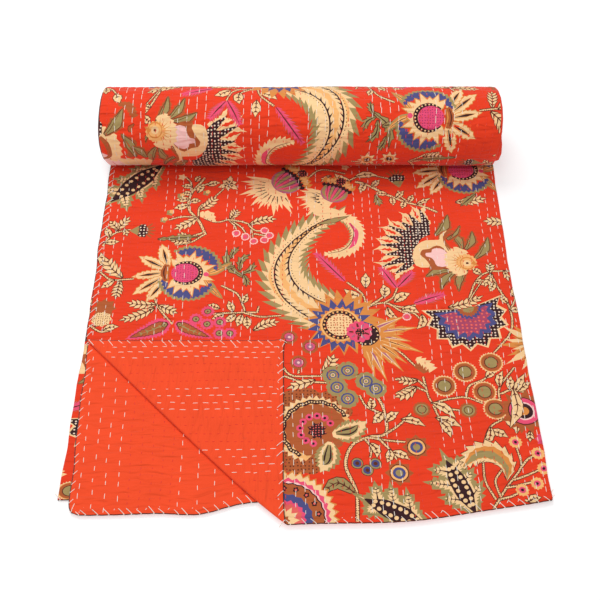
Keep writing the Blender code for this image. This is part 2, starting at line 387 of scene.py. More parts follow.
    def cloth_place(self, seen: complex) -> complex:
        """The place on the cloth of a place seen from above on the top layer.

        Args:
            seen: centimetres from the top layer's left edge and from the front line.

        Returns:
            Centimetres across and along the cloth.
        """
        out_left, out_right, _, _, front_right = self.edges[3]
        along = seen.imag / 100
        for _ in range(3):
            flare = max(0.0, 1 - along / self.flare)
            left = self.left_far + out_left * flare
            share = (seen.real / 100 - 0.286 - left) / (self.right_far + out_right * flare - left)
            set_back = front_right * max(0.0, 2 * share - 1) ** 2
            along = seen.imag / 100 - set_back * max(0.0, 1 - along / self.edge_fade) ** 2
        return complex(100 * share * self.layer, 100 * along)


# ---------------- quilting


class Thread(Enum):
    """The two threads that the running stitches are sewn with."""

    WHITE = "white"
    RED = "red"


Rows = list[tuple[float, Thread]]


@dataclass(frozen=True)
class Quilting:
    """Rows of running stitch along the quilt: groups of four in white, and red ones between."""

    strip: FoldedStrip
    start: float = -0.005
    group_pitch: float = 0.091
    white_rows: int = 4
    white_pitch: float = 0.012
    red_rows: int = 4
    white_puff: float = 0.0008
    red_puff: float = 0.0006
    # The turned-back corner's rows, by their distance from the top layer's left edge.
    corner_white: tuple[float, ...] = (
        0.009, 0.017, 0.025, 0.071, 0.081, 0.091, 0.100, 0.156, 0.166, 0.176, 0.187
    )
    corner_red: tuple[float, ...] = (
        0.036, 0.048, 0.060, 0.111, 0.122, 0.134, 0.145, 0.199, 0.211, 0.223, 0.235
    )
    # The second layer's rows, by their distance from its free left edge.
    second_white: tuple[float, ...] = (0.010, 0.026, 0.041, 0.056, 0.130, 0.152, 0.172, 0.192)
    second_red: tuple[float, ...] = (0.068, 0.081, 0.094, 0.107, 0.119, 0.207, 0.222, 0.237)

    @property
    def white_width(self) -> float:
        """From the first to the last white row of a group."""
        return (self.white_rows - 1) * self.white_pitch

    @property
    def red_pitch(self) -> float:
        """From one red row to the next."""
        return (self.group_pitch - self.white_width) / (self.red_rows + 1)

    def rows(self, low: float, high: float) -> Rows:
        """The rows of stitches in a stretch of the cloth.

        Args:
            low: the stretch's start across.
            high: its end.

        Returns:
            The length across and the thread of each row.
        """
        found = []
        for group in range(math.floor(low / self.group_pitch) - 1, math.ceil(high / self.group_pitch) + 1):
            origin = self.start + group * self.group_pitch
            found += [(origin + n * self.white_pitch, Thread.WHITE) for n in range(self.white_rows)]
            last = origin + self.white_width
            found += [(last + n * self.red_pitch, Thread.RED) for n in range(1, self.red_rows + 1)]
        return [row for row in sorted(found, key=lambda row: row[0]) if low < row[0] < high]

    def corner_rows(self) -> Rows:
        """The turned-back corner's rows by their distance from the edge, and the thread of each."""
        return by_distance(self.corner_white, self.corner_red)

    def second_rows(self) -> Rows:
        """The second layer's rows by their distance from its free edge, and the thread of each."""
        return by_distance(self.second_white, self.second_red)

    def columns(self, low: float, high: float, parts: int = 4) -> list[float]:
        """Lengths across at which a mesh shows each ridge between rows, in that many parts."""
        return spread([low, *[across for across, _ in self.rows(low + 0.003, high - 0.003)], high], parts)

    def puff(self, across: Array, along: Array) -> Array:
        """How far the cloth stands up between the rows.

        Args:
            across: lengths over the cloth.
            along: lengths from the front edge.

        Returns:
            The heights.
        """
        inside = (across - self.start) % self.group_pitch
        white = self.white_puff * np.sin(math.pi * inside / self.white_pitch) ** 2
        red = self.red_puff * np.sin(math.pi * (inside - self.white_width) / self.red_pitch) ** 2
        beyond = self.strip.turned_back - across - along
        usual = np.where(inside < self.white_width, white, red)
        usual = np.where(beyond > 0, self.ridge(across, self.corner_rows()), usual)
        usual = usual * eased(np.abs(beyond) / 0.02)
        second = self.ridge(self.strip.width - across, self.second_rows())
        return np.where(across > 3.5 * self.strip.layer, second, usual)

    def ridge(self, distance: Array, rows: Rows) -> Array:
        """The ridges between rows that lie at given distances from an edge."""
        stops = [0.0, *[row for row, _ in rows], self.strip.turned_back]
        return self.white_puff * np.sin(math.pi * np.interp(distance, stops, range(len(stops)))) ** 2


def by_distance(white: Sequence[float], red: Sequence[float]) -> Rows:
    """Sorts white and red rows by their distance from an edge."""
    rows = [(across, Thread.WHITE) for across in white] + [(across, Thread.RED) for across in red]
    return sorted(rows, key=lambda row: row[0])


def spread(stops: Sequence[float], parts: int) -> list[float]:
    """Cuts each gap between the stops into equal parts."""
    return [a + (b - a) * n / parts for a, b in zip(stops, stops[1:]) for n in range(parts)] + [stops[-1]]



# ---------------- the print


class Ink(Enum):
    """The print's inks, numbered by their place in the cloth's material. A name of two inks is dotted."""

    GROUND = 0
    CREAM = 1
    PEACH = 2
    MUSTARD = 3
    OLIVE = 4
    MAGENTA = 5
    PINK = 6
    BLUE = 7
    BLACK = 8
    BROWN = 9
    RUST = 10
    PLUM = 11
    CORAL = 12
    BLACK_CREAM = 13
    BLACK_CORAL = 14
    RUST_BROWN = 15
    CREAM_RUST = 16
    MAGENTA_PLUM = 17
    PLUM_CORAL = 18
    CREAM_BROWN = 19


(
    GROUND, CREAM, PEACH, MUSTARD, OLIVE, MAGENTA, PINK, BLUE, BLACK, BROWN, RUST, PLUM, CORAL, BLACK_CREAM,
    BLACK_CORAL, RUST_BROWN, CREAM_RUST, MAGENTA_PLUM, PLUM_CORAL, CREAM_BROWN,
) = Ink


def curve(knots: Sequence[complex], steps: int = 6) -> Outline:
    """A smooth line through the knots.

    Args:
        knots: places in centimetres, across as the real part and along as the imaginary one.
        steps: points from one knot to the next.

    Returns:
        The points of the line.
    """
    if len(knots) == 2:
        return [knots[0] + (knots[1] - knots[0]) * n / steps for n in range(steps + 1)]
    ends = [2 * knots[0] - knots[1], *knots, 2 * knots[-1] - knots[-2]]
    line = []
    for a, b, c, d in zip(ends, ends[1:], ends[2:], ends[3:]):
        for n in range(steps):
            t = n / steps
            bend = (2 * a - 5 * b + 4 * c - d) * t * t
            line.append(0.5 * (2 * b + (c - a) * t + bend + (3 * b - a - 3 * c + d) * t**3))
    return [*line, knots[-1]]


def along_widths(widths: Sequence[float], count: int) -> list[float]:
    """Spreads a few widths evenly over a number of points."""
    spots = np.linspace(0, len(widths) - 1, count)
    return list(np.interp(spots, range(len(widths)), widths))


class Pen:
    """Lays filled shapes over each other, in centimetres on the flat cloth."""

    def __init__(self, detail: int = 2, whole: bool = False) -> None:
        """Starts with an empty cloth.

        Args:
            detail: 2 for all of it, 1 without the veins, and 0 also without dots and small marks.
            whole: also draws what the turned-back corner hides on the top layer.
        """
        self.shapes: list[tuple[Ink, Outline]] = []
        self.fine = detail > 0
        self.veined = detail > 1
        self.whole = whole

    def fill(self, ink: Ink, outline: Outline) -> None:
        """Fills an outline."""
        self.shapes.append((ink, outline))

    def disc(
        self, ink: Ink, c: complex, r: float, teeth: int = 0, depth: float = 0.2, squash: float = 1.0,
        turn: float = 0.0, soft: bool = False, arc: Place = (0.0, 360.0),
    ) -> None:
        """Fills a disc, a star or a scalloped round.

        Args:
            ink: the ink.
            c: the middle.
            r: the radius at the teeth's tips.
            teeth: how many teeth or scallops go round.
            depth: how deep they are, as a share of the radius.
            squash: the height as a share of the width.
            turn: how far it is turned, in degrees.
            soft: scallops in place of pointed teeth.
            arc: the part that is filled, in degrees.
        """
        low, high = math.radians(arc[0]), math.radians(arc[1])
        whole = arc[1] - arc[0] >= 360
        per = 4 if soft else 2
        count = teeth * per if teeth else max(5, min(22, int(4 + 12 * r**0.7)))
        outline = []
        for n in range(count if whole else count + 1):
            angle = low + (high - low) * n / count
            reach = r
            if teeth:
                phase = (n % per) / per
                reach = r * (1 - depth * (1 - abs(math.sin(math.pi * phase)) if soft else 2 * phase))
            spot = complex(math.cos(angle), squash * math.sin(angle)) * reach
            outline.append(c + spot * complex(math.cos(math.radians(turn)), math.sin(math.radians(turn))))
        if not whole and not teeth:
            outline.append(c)
        self.fill(ink, outline)

    def ribbon(
        self, ink: Ink, knots: Sequence[complex], left: Sequence[float], right: Sequence[float] | None = None,
        teeth: int = 0, depth: float = 0.0, steps: int = 5, grow: float = 0.0, lean: float = 0.7,
    ) -> None:
        """Fills a band along a line, such as a stem, a leaf or a plume.

        Args:
            ink: the ink.
            knots: places that the line goes through.
            left: half widths on the left side, spread over its length.
            right: the same on the right side, or None where it is alike.
            teeth: teeth on each toothed edge.
            depth: how far the teeth stand out.
            steps: points from one knot to the next.
            grow: how much wider and longer it is made, as for a dark edge.
            lean: how far the teeth lean towards the tip, as a share of their depth.
        """
        line = resample(curve(knots, steps), teeth * 2) if teeth else curve(knots, steps)
        if grow:
            line = [
                line[0] - grow * unit(line[1] - line[0]), *line[1:-1],
                line[-1] + grow * unit(line[-1] - line[-2]),
            ]
        sides = []
        for sign, widths in ((1, left), (-1, right or left)):
            spread = along_widths(widths, len(line))
            edge = []
            for n, (spot, width) in enumerate(zip(line, spread, strict=True)):
                ahead = unit(line[min(n + 1, len(line) - 1)] - line[max(n - 1, 0)])
                bare = n % 2 == 0 or (spread[-1] < 0.05 and n > len(line) - 3)
                tooth = 0.0 if bare else depth * min(1.0, 0.3 + 1.3 * width / max(spread))
                rim = 0.0 if n in (0, len(line) - 1) and width < 0.01 else grow
                edge.append(spot + ahead * 1j * sign * (width + tooth + rim) + ahead * tooth * lean)
            sides.append(edge)
        self.fill(ink, clean(sides[0] + sides[1][::-1]))

    def edged(
        self, ink: Ink, edge: Ink, grow: float, knots: Sequence[complex], left: Sequence[float], **how
    ) -> None:
        """Fills a band with a rim of another ink round it."""
        self.ribbon(edge, knots, left, grow=grow, **how)
        self.ribbon(ink, knots, left, **how)

    # ------------------------------------------------ small motifs

    def leaf(
        self, a: complex, b: complex, w: float = 0.5, bow: float = 0.0, ink: Ink = CREAM, veins: int = 3
    ) -> None:
        """A leaf from a to b, with a rib and fine side veins.

        Args:
            a: the foot.
            b: the tip.
            w: half its width.
            bow: how far it bends to the left, as a share of its length.
            ink: the blade's ink.
            veins: pairs of side veins.
        """
        knots = [a, a + (b - a) * 0.5 + (b - a) * 1j * bow, b]
        self.edged(ink, BROWN, 0.12, knots, (0.0, w * 0.85, w, w * 0.6, 0.0), depth=0.12, steps=4)
        if self.veined:
            self.hatch(knots, w, veins)

    def hatch(self, knots: Sequence[complex], w: float, veins: int, ink: Ink = BROWN) -> None:
        """A dark rib along a leaf, with pairs of slanting veins.

        Args:
            knots: places that the rib goes through.
            w: half the leaf's width.
            veins: pairs of side veins.
            ink: their ink.
        """
        line = resample(curve(knots, 5), 2 * veins + 2)
        self.ribbon(ink, line[: 2 * veins + 1], (0.09, 0.07, 0.02), steps=1)
        for n in range(1, 2 * veins + 1, 2):
            ahead = unit(line[n + 1] - line[n])
            reach = w * 0.8 * math.sin(math.pi * (0.16 + 0.74 * n / (2 * veins + 1)))
            for sign in (1, -1):
                tip = line[n] + ahead * reach * complex(0.95, sign)
                self.fill(ink, [line[n], line[n] + ahead * 0.27, tip])

    def fern(self, a: complex, b: complex, w: float, bow: float, pairs: int) -> None:
        """A deeply toothed leaf with a rib and veins.

        Args:
            a: the foot.
            b: the tip.
            w: how far the teeth reach to each side.
            bow: how far it bends to the left, as a share of its length.
            pairs: pairs of veins.
        """
        knots = [a, a + (b - a) * 0.5 + (b - a) * 1j * bow, b]
        widths = (0.06, w * 0.46, w * 0.56, w * 0.34, 0.0)
        self.edged(CREAM, BROWN, 0.11, knots, widths, teeth=pairs + 1, depth=w * 0.42, lean=1.25)
        if self.veined:
            self.hatch(knots, w * 1.1, pairs)

    def stem(self, *knots: complex, w: float = 0.13) -> None:
        """A stem through the knots: pale and speckled, with a dark rim."""
        self.ribbon(BROWN, knots, (w + 0.10, w * 0.8 + 0.10), steps=4)
        self.ribbon(CREAM_BROWN, knots, (w, w * 0.8), steps=4)

    def berry(self, c: complex, *rings: tuple) -> None:
        """A round fruit drawn as rings, each (ink, radius) or (ink, radius, teeth, depth)."""
        for ring in rings:
            self.disc(ring[0], c, *ring[1:])


def unit(step: complex) -> complex:
    """The direction of a step."""
    return step / (abs(step) or 1.0)


def sides_of(outline: Outline) -> Iterable[tuple[complex, complex]]:
    """The ends of each side of a closed outline."""
    return zip(outline, outline[1:] + outline[:1])


def clean(outline: Outline) -> Outline:
    """Drops points that fall on their neighbour."""
    kept = [p for p, q in sides_of(outline) if abs(p - q) > 0.012]
    return kept if len(kept) > 2 else outline


def resample(line: Outline, parts: int) -> Outline:
    """The same line in a number of equal parts.

    Args:
        line: the points of the line.
        parts: how many parts.

    Returns:
        The points between the parts, with both ends.
    """
    lengths = np.concatenate([[0], np.cumsum([abs(q - p) for p, q in zip(line, line[1:])])])
    spots = np.linspace(0, lengths[-1], parts + 1)
    return [
        complex(x, y)
        for x, y in zip(
            np.interp(spots, lengths, [p.real for p in line]),
            np.interp(spots, lengths, [p.imag for p in line]),
        )
    ]


def walk(line: Outline, pitch: float, length: float) -> list[tuple[complex, complex]]:
    """Places and directions every `pitch` along a line.

    Args:
        line: the points of the line.
        pitch: the length from one place to the next.
        length: the line's length.

    Returns:
        Each place with the direction of the line there.
    """
    parts = max(1, round(length / pitch))
    even = resample(line, parts)
    return [(even[n], unit(even[n + 1] - even[n - 1])) for n in range(1, parts)]


def disc_flower(pen: Pen, c: complex, turn: float = 0) -> None:
    """A round flower: a magenta eye in a beaded ring, pale petals, a blue toothed rim, and leaves.

    Args:
        pen: the pen.
        c: its middle.
        turn: how far it is turned, in degrees.
    """
    at = turned(c, turn)
    for base, tip, w in (
        (-2.6+1j, -3.7+5.1j, 0.74), (-2.8+0.7j, -6.7+2.9j, 0.72), (-2.9+0.1j, -7.4-0.7j, 0.58),
        (-2.9-0.5j, -7-3.7j, 0.66), (-2.6-1.1j, -5.1-4.9j, 0.70),
    ):
        knots = [at(base), at((base + tip) / 2), at(tip)]
        pen.edged(CREAM, MUSTARD, 0.12, knots, (0.2, w, w * 0.9, 0), teeth=7, depth=0.16, lean=1)
        pen.ribbon(MUSTARD, [at(base), knots[1], at(base * 0.2 + tip * 0.8)], (0.16, w * 0.46, 0.03), steps=3)
        pen.ribbon(CREAM, [at(base), knots[1], at(base * 0.3 + tip * 0.7)], (0.1, w * 0.3, 0.03), steps=3)
        pen.ribbon(
            BLACK, [at(base * 0.85 + tip * 0.15), knots[1], at(base * 0.25 + tip * 0.75)], (0.04, 0.17, 0.03),
            steps=2,
        )
    for base, tip in ((2.7-0.2j, 6.2+1.9j), (2.5-0.9j, 5.1-4.3j)):
        knots = [at(base), at(base * 0.5 + tip * 0.5-0.3j), at(tip)]
        pen.edged(MUSTARD, OLIVE, 0.16, knots, (0.2, 0.5, 0.3, 0))
        pen.ribbon(PEACH, knots, (0.1, 0.26, 0.12, 0))
        pen.ribbon(BROWN, knots, (0.03, 0.06, 0), steps=3)
    for low, high, reach in ((8, 122, 4.35), (198, 330, 4.25)):
        arc = [at(0.35 + reach * squashed(a / 360, 1)) for a in np.linspace(low, high, 7)]
        inner = [at(0.35 + (reach - 0.55) * squashed(a / 360, 1)) for a in np.linspace(low, high, 7)]
        teeth = round((high - low) / 9)
        pen.ribbon(
            OLIVE, arc, (0.05, 0.35, 0.35, 0.05), (0.1, 0.38, 0.38, 0.1), teeth=teeth, depth=0.28, lean=0.2
        )
        pen.ribbon(
            BLUE, inner, (0.1, 0.62, 0.62, 0.1), (0.1, 0.5, 0.5, 0.1), teeth=teeth, depth=0.34, lean=0.2
        )
    for grow, ink in ((0.3, MUSTARD), (0, CREAM)):
        for n in range(15):
            way = squashed((n - 7) * 0.053)
            reach = 3.55 + 0.5 * math.sin(2.5 * n) + grow
            pen.ribbon(
                ink, [at(0.1 + way), at(0.1 + way * 2.4), at(0.1 + way * reach)], (0.5, 0.52 + grow / 2, 0),
                steps=3,
            )
    pen.ribbon(RUST, [at(-2.7+1.5j), at(-2.9+0j), at(-2.6-1.4j)], (0.3, 0.62, 0.3), teeth=4, depth=0.1)
    pen.ribbon(BROWN, [at(-2.9+1.2j), at(-3.1+0j), at(-2.8-1.2j)], (0.05, 0.12, 0.05), steps=3)
    pen.ribbon(MUSTARD, [at(-2.4+1.2j), at(-2.6+0j), at(-2.4-1.2j)], (0.04, 0.1, 0.04), steps=3)
    ring = [at(-0.05 + 2.06 * squashed(a / 360, 0.88)) for a in np.linspace(-140, 140, 12)]
    pen.ribbon(BLACK, ring, (0.1, 0.28, 0.32, 0.32, 0.28, 0.1), steps=3)
    if pen.fine:
        for n in range(17):
            pen.disc(CREAM, at(-0.05 + 2.1 * squashed((n - 8) * 0.041, 0.88)), 0.13)
    pen.disc(MAGENTA_PLUM, at(-0.2+0j), 1.86, squash=0.88, turn=turn)
    pen.disc(MAGENTA, at(2.75-0.25j), 0.42, 8, 0.2)


def turned(c: complex, degrees: float, size: float = 1) -> Callable[[complex], complex]:
    """Gives the function that moves a motif's own place to the cloth, turned and scaled round c."""
    spin = complex(math.cos(math.radians(degrees)), math.sin(math.radians(degrees))) * size
    return lambda place: c + place * spin


def squashed(share: float, squash: float = 1) -> complex:
    """A place on a flattened circle, by its share of the way round."""
    return complex(math.cos(2 * math.pi * share), squash * math.sin(2 * math.pi * share))


def thistle(pen: Pen, c: complex, turn: float, size: float, fan: Place) -> None:
    """A thistle bud: a striped plum cup, a yellow toothed collar, and a frayed pale tail.

    Args:
        pen: the pen.
        c: the cup's middle.
        turn: the way that it opens, in degrees.
        size: its size as a share of the usual one.
        fan: the turns between which the tail spreads, in degrees from the way that it opens.
    """
    at = turned(c, turn, size)
    root = -1.2 + 0j
    ways = [squashed(angle / 360) for angle in np.linspace(fan[0], fan[1], 11)]
    for n, way in enumerate(ways):
        reach = 5.2 + 0.75 * math.sin(2.6 * n)
        for turn_by, far in ((0, reach), (0.014, reach * 0.84), (-0.016, reach * 0.76)):
            tip = root + way * squashed(turn_by) * far
            pen.ribbon(
                CREAM, [at(root), at(root + (tip - root) * 0.6), at(tip + way * 0.3j)], (0.6, 0.4, 0), steps=3
            )
    if pen.fine:
        for n, way in enumerate(ways[1:] + ways[1:-1]):
            start = 2 + 0.5 * (n % 2)
            way *= squashed(0.02 if n < 10 else -0.02)
            pen.ribbon(BLACK, [at(root + way * start), at(root + way * (start + 1))], (0.08, 0.02), steps=2)
    cup = [at(2.1 * squashed(a / 360, 1.12) + 0.2) for a in np.linspace(70, 290, 14)]
    pen.fill(PLUM, [*cup, at(1.6-2.3j), at(1.9+0j), at(1.6+2.3j)])
    for n in range(-3, 4):
        knots = [at(-1.75 + 0.16j * n), at(-0.2 + 0.6j * n), at(1.4 + 0.66j * n)]
        pen.ribbon(OLIVE if n % 2 else MAGENTA, knots, (0.03, 0.26, 0.16), steps=3)
    for n in range(-3, 3):
        pen.ribbon(BROWN, [at(-1 + 0.36j * (n + 0.5)), at(1.3 + 0.66j * (n + 0.5))], (0.02, 0.05), steps=2)
    for ink, far, span, w, depth in (
        (MUSTARD, 2.4, 2.8, 0.85, 0.55), (PEACH, 2.6, 2.2, 0.5, 0.4), (BLACK, 1.75, 2.7, 0.13, 0.36)
    ):
        knots = [at(complex(far - 0.4, span)), at(complex(far + 0.2, 0)), at(complex(far - 0.4, -span))]
        pen.ribbon(ink, knots, (w * 0.5, w, w * 0.5), (0.1,), teeth=8, depth=depth, lean=0)
    pen.disc(BLACK_CORAL, at(3.1+0j), 0.8, 12, 0.16)


def plume(pen: Pen) -> None:
    """The great curled plume: two pale bands with ragged olive edges, herringbone ribs, and a hook.

    Args:
        pen: the pen.
    """
    outer = [34.4+47.2j, 31.2+46.4j, 27.4+43.2j, 25+39.8j, 24.4+36.6j, 25.3+33.4j, 27.4+30.8j, 30.6+28.4j]
    inner = [32.6+46.6j, 29.4+44.6j, 26.9+41j, 26.3+38j, 27.3+35j, 29.6+32.8j, 32.4+31.4j]
    ragged = [outer[0] + 0.4j, *outer[1:]]
    pen.ribbon(OLIVE, ragged, (0.1,), (0.7, 1.2, 1.6, 1.6, 1.6, 1.7, 1.7, 1.3), teeth=19, depth=1, lean=-1.5)
    pen.ribbon(OLIVE, inner, (0.3, 1, 1.5, 2.1, 2.3, 2.2, 1.7), (0.1,), teeth=16, depth=0.85, lean=-1.3)
    pen.ribbon(
        CREAM, ragged, (0.1,), (0.5, 0.6, 0.75, 0.8, 0.8, 0.85, 0.85, 0.7), teeth=19, depth=0.9, lean=-1.3
    )
    pen.ribbon(CREAM, inner, (0.2, 0.55, 0.9, 1.25, 1.4, 1.4, 1.2), (0.1,), teeth=16, depth=0.7, lean=-1.2)
    between = [33.4+47j, 29.6+45j, 26.6+41.4j, 25.5+38.2j, 25.9+35.2j, 27.8+32.2j, 31.2+29.8j]
    pen.ribbon(CREAM, between, (0.2, 0.7, 0.9, 1, 1.3, 1.6, 1.3))
    pen.ribbon(PEACH, between, (0.03, 0.15, 0.22, 0.26, 0.3, 0.3, 0.1), teeth=14, depth=0.22)
    pen.ribbon(PEACH, [24.1+38.6j, 23.8+36.4j, 24.5+34j, 26.2+31.4j], (0, 0.22, 0.22, 0))
    for knots, side in ((outer, -1), (inner, 1)):
        rib = curve(knots, 6)
        pen.ribbon(BLACK, knots, (0.05, 0.09, 0.11, 0.1, 0.06))
        for spot, ahead in walk(rib, 0.8, 23 if side < 0 else 18):
            tip = spot + ahead * 0.55 - ahead * 1j * side * 0.6
            pen.fill(
                BLACK,
                [spot - ahead * 0.3, spot + ahead * 0.1 - ahead * 1j * side * 0.26, tip, spot + ahead * 0.14],
            )
        if pen.veined:
            for spot, ahead in walk(rib, 0.42, 22 if side < 0 else 17):
                pen.disc(BLACK, spot + ahead * 1j * side * 0.4, 0.08)
    pen.ribbon(CREAM, [29.4+50j, 30.8+48.4j, 33.2+47.6j, 34.4+46.9j], (0.5, 1.1, 0.9, 0.5))
    hook = [33+47.4j, 34.9+46.5j, 35.9+44.6j, 35.7+42.4j, 34.4+40.9j, 32.6+40.3j, 31.2+40.4j]
    pen.ribbon(
        OLIVE, hook, (0.2, 0.3, 0.2, 0.1, 0), (0.5, 0.9, 0.8, 0.7, 0.5, 0.1), teeth=16, depth=0.4, lean=1
    )
    pen.ribbon(
        CREAM, hook, (0.5, 0.9, 0.85, 0.75, 0.6, 0.1), (0.3, 0.6, 0.6, 0.6, 0.5, 0.1), teeth=19, depth=0.4,
        lean=1,
    )
    pen.ribbon(MAGENTA, [34.9+46j, 35.8+44.4j, 35.5+42.4j, 34.7+41.3j], (0.1, 0.34, 0.36, 0.05))
    pen.ribbon(BROWN, [35.1+46j, 35.5+44.2j, 35+42.3j, 33.8+41j, 31.8+40.4j], (0.03, 0.06, 0.06, 0.03))
    pen.edged(OLIVE, BROWN, 0.07, [30.6+45.9j, 32.8+46.5j, 35+47.4j], (0.1, 0.42, 0))


def sun_flower(pen: Pen) -> None:
    """The flower at the plume's foot: a dotted eye with blue and yellow rays, and a bud with long rays.

    Args:
        pen: the pen.
    """
    c = 33.2 + 28.3j
    for n in range(12):
        angle = math.radians(-78 + n * 9.2)
        reach = 6.1 + 1.5 * math.sin(n * 2.3) + (1.1 if n < 8 else 0)
        tip = 36 + 27.2j + reach * complex(math.cos(angle), math.sin(angle))
        base = 36.2 + 27j
        pen.ribbon(MUSTARD, [base, (base + tip) / 2, tip], (0.6, 0.62, 0.03), teeth=5, depth=0.14)
        pen.ribbon(
            CREAM if n % 2 else PEACH, [base, (base + tip) / 2, tip * 0.92 + base * 0.08], (0.2, 0.26, 0.02),
            steps=3,
        )
        pen.ribbon(
            PLUM if n % 2 else BROWN, [base + (tip - base) * 0.3, base + (tip - base) * 0.78],
            (0.2 if n % 2 else 0.1, 0.02), steps=3,
        )
    pen.disc(MUSTARD, c + 0.5+0.5j, 5.4, 19, 0.28, turn=4)
    pen.disc(BLUE, c, 4.4, 17, 0.30)
    pen.disc(MUSTARD, c, 3.05, 22, 0.14)
    pen.disc(PEACH, c, 2.62)
    pen.disc(BLACK, c, 2.35)
    if pen.fine:
        for n in range(22):
            pen.disc(PEACH, c + 2.12 * squashed(n / 22), 0.15)
    pen.disc(CREAM_RUST, c, 1.8)
    bud = 35.7 + 27.2j
    pen.disc(BLACK, bud + 0.9-0.5j, 1.75, arc=(-150, 60))
    if pen.fine:
        for n in range(9):
            pen.disc(CREAM, bud + 0.9 - 0.5j + 1.5 * squashed(-0.40 + n * 0.066), 0.13)
    pen.disc(MAGENTA, bud, 1.75, 12, 0.12, soft=True)
    for n in range(9):
        way = squashed(0.06 + n / 9)
        pen.ribbon(PLUM if n % 2 else BROWN, [bud + way * 0.75, bud + way * 1.35], (0.16, 0.1), steps=2)
    pen.disc(BLACK_CORAL, bud + 0.1-0.1j, 0.62)


def olive_leaf(pen: Pen, a: complex, tip: complex, w: float) -> None:
    """A curved olive leaf with a rust shadow, a dark edge and a rib.

    Args:
        pen: the pen.
        a: the foot.
        tip: the tip.
        w: half its width.
    """
    knots = [a, (a + tip) / 2 - (tip - a) * 0.12j, tip]
    pen.ribbon(RUST, knots, (0.3, w + 0.3, 0.1), teeth=5, depth=0.14)
    pen.edged(OLIVE, BROWN, 0.09, knots, (0.15, w, 0))
    pen.ribbon(BROWN, [a, (a + knots[1]) / 2, tip], (0.02, 0.05, 0), steps=2)


def bird(pen: Pen) -> None:
    """A bird with a fan of dark dotted feathers, a pink breast and a ruffed head, among olive leaves.

    Args:
        pen: the pen.
    """
    for a, tip, w in (
        (47+43.8j, 49+47.6j, 0.62), (50.5+41.3j, 49.2+44.2j, 0.5), (51+41.2j, 52.2+44.5j, 0.5),
        (52.2+39.6j, 54.3+43.4j, 0.55), (48.4+37.4j, 45.1+36.3j, 0.5), (49.2+37.2j, 47+34.1j, 0.5),
        (50.8+37.6j, 49.4+33.8j, 0.5), (48.6+43j, 50.6+45.6j, 0.2),
    ):
        olive_leaf(pen, a, tip, w)
    pen.ribbon(RUST, [49.6+44.6j, 48.2+44j, 47.9+42.6j, 49+41j], (0.1, 0.55, 0.5, 0.2))
    pen.ribbon(CREAM, [48.6+44.6j, 47.8+43.6j, 47.9+42.2j, 48.9+40.6j], (0.05, 0.22, 0.22, 0.1))
    hub = 46.9 + 41.2j
    ways = [squashed(angle / 360) for angle in np.linspace(104, 216, 9)]
    reaches = (7.2, 6.9, 6.4, 7.4, 6.9, 7.3, 6.8, 7.9, 6.9)
    for n, (way, reach) in enumerate(zip(ways, reaches, strict=True)):
        for side in (-0.13, 0.12):
            tip = hub + way * squashed(side / 6) * (reach + 1.5 + side)
            pen.ribbon(
                CREAM, [hub + way * 4.6, hub + way * (reach * 0.9), tip], (0.72, 0.36, 0), teeth=5,
                depth=0.16, lean=1.4,
            )
    fan = []
    for way, reach in zip(ways, reaches, strict=True):
        fan += [
            hub + way * squashed(-0.02) * 5.2, hub + way * (reach + 0.7), hub + way * squashed(0.012) * 5.5
        ]
    pen.fill(BLACK_CREAM, [*fan, *(hub + way * 2.7 for way in ways[::-1])])
    for ink, rim in (
        (CREAM, (48+43.9j, 47.4+42.9j, 45.5+42.8j, 44.4+42.1j, 43.8+41.2j, 43.5+39.9j, 43.9+38.3j, 45.4+37.9j,
                     47+38.6j, 48.6+40.3j, 48.4+41.6j, 48+42.5j)),
        (RUST, (48.6+40.3j, 47.9+41.4j, 47+41.9j, 46+41.3j, 45+41.1j, 44.6+40.3j, 45.2+39.5j, 45.8+38.4j,
                    45.6+37.7j, 46.8+37.5j, 48+38j)),
        (PINK, (48.6+40.2j, 47.9+41.1j, 47+41.4j, 46.3+41.1j, 46.2+40.6j, 45.4+40.5j, 45.4+39.9j, 46.1+39.7j,
                    46.5+39j, 46.8+38.2j, 48.2+38.2j)),
    ):
        pen.fill(ink, curve([*rim, rim[0]], 2)[:-1])
    pen.ribbon(BROWN, [48.2+42j, 48.6+41j, 49+40.2j], (0.03, 0.08, 0.02), steps=3)
    pen.ribbon(
        CREAM, [50.2+36.6j, 49.7+38j, 49.6+39.6j, 50.4+41.3j], (0.5, 1.4, 1.5, 0.7), teeth=10, depth=0.32,
        lean=0.1,
    )
    pen.disc(PEACH, 50.9+38.9j, 1.5, 15, 0.12)
    for n in range(9):
        way = squashed(0.30 + n * 0.055)
        pen.ribbon(MUSTARD, [50.4 + 38.9j + way * 0.7, 50.4 + 38.9j + way * 2], (0.07, 0.01), steps=2)
    pen.disc(MUSTARD, 51+38.7j, 1.04, squash=1.1)
    pen.berry(51+38.7j, (PEACH, 0.92), (CREAM, 0.56), (BROWN, 0.2))
    pen.ribbon(MUSTARD, [51.7+38.9j, 52.5+38.2j], (0.36, 0.02), steps=2)


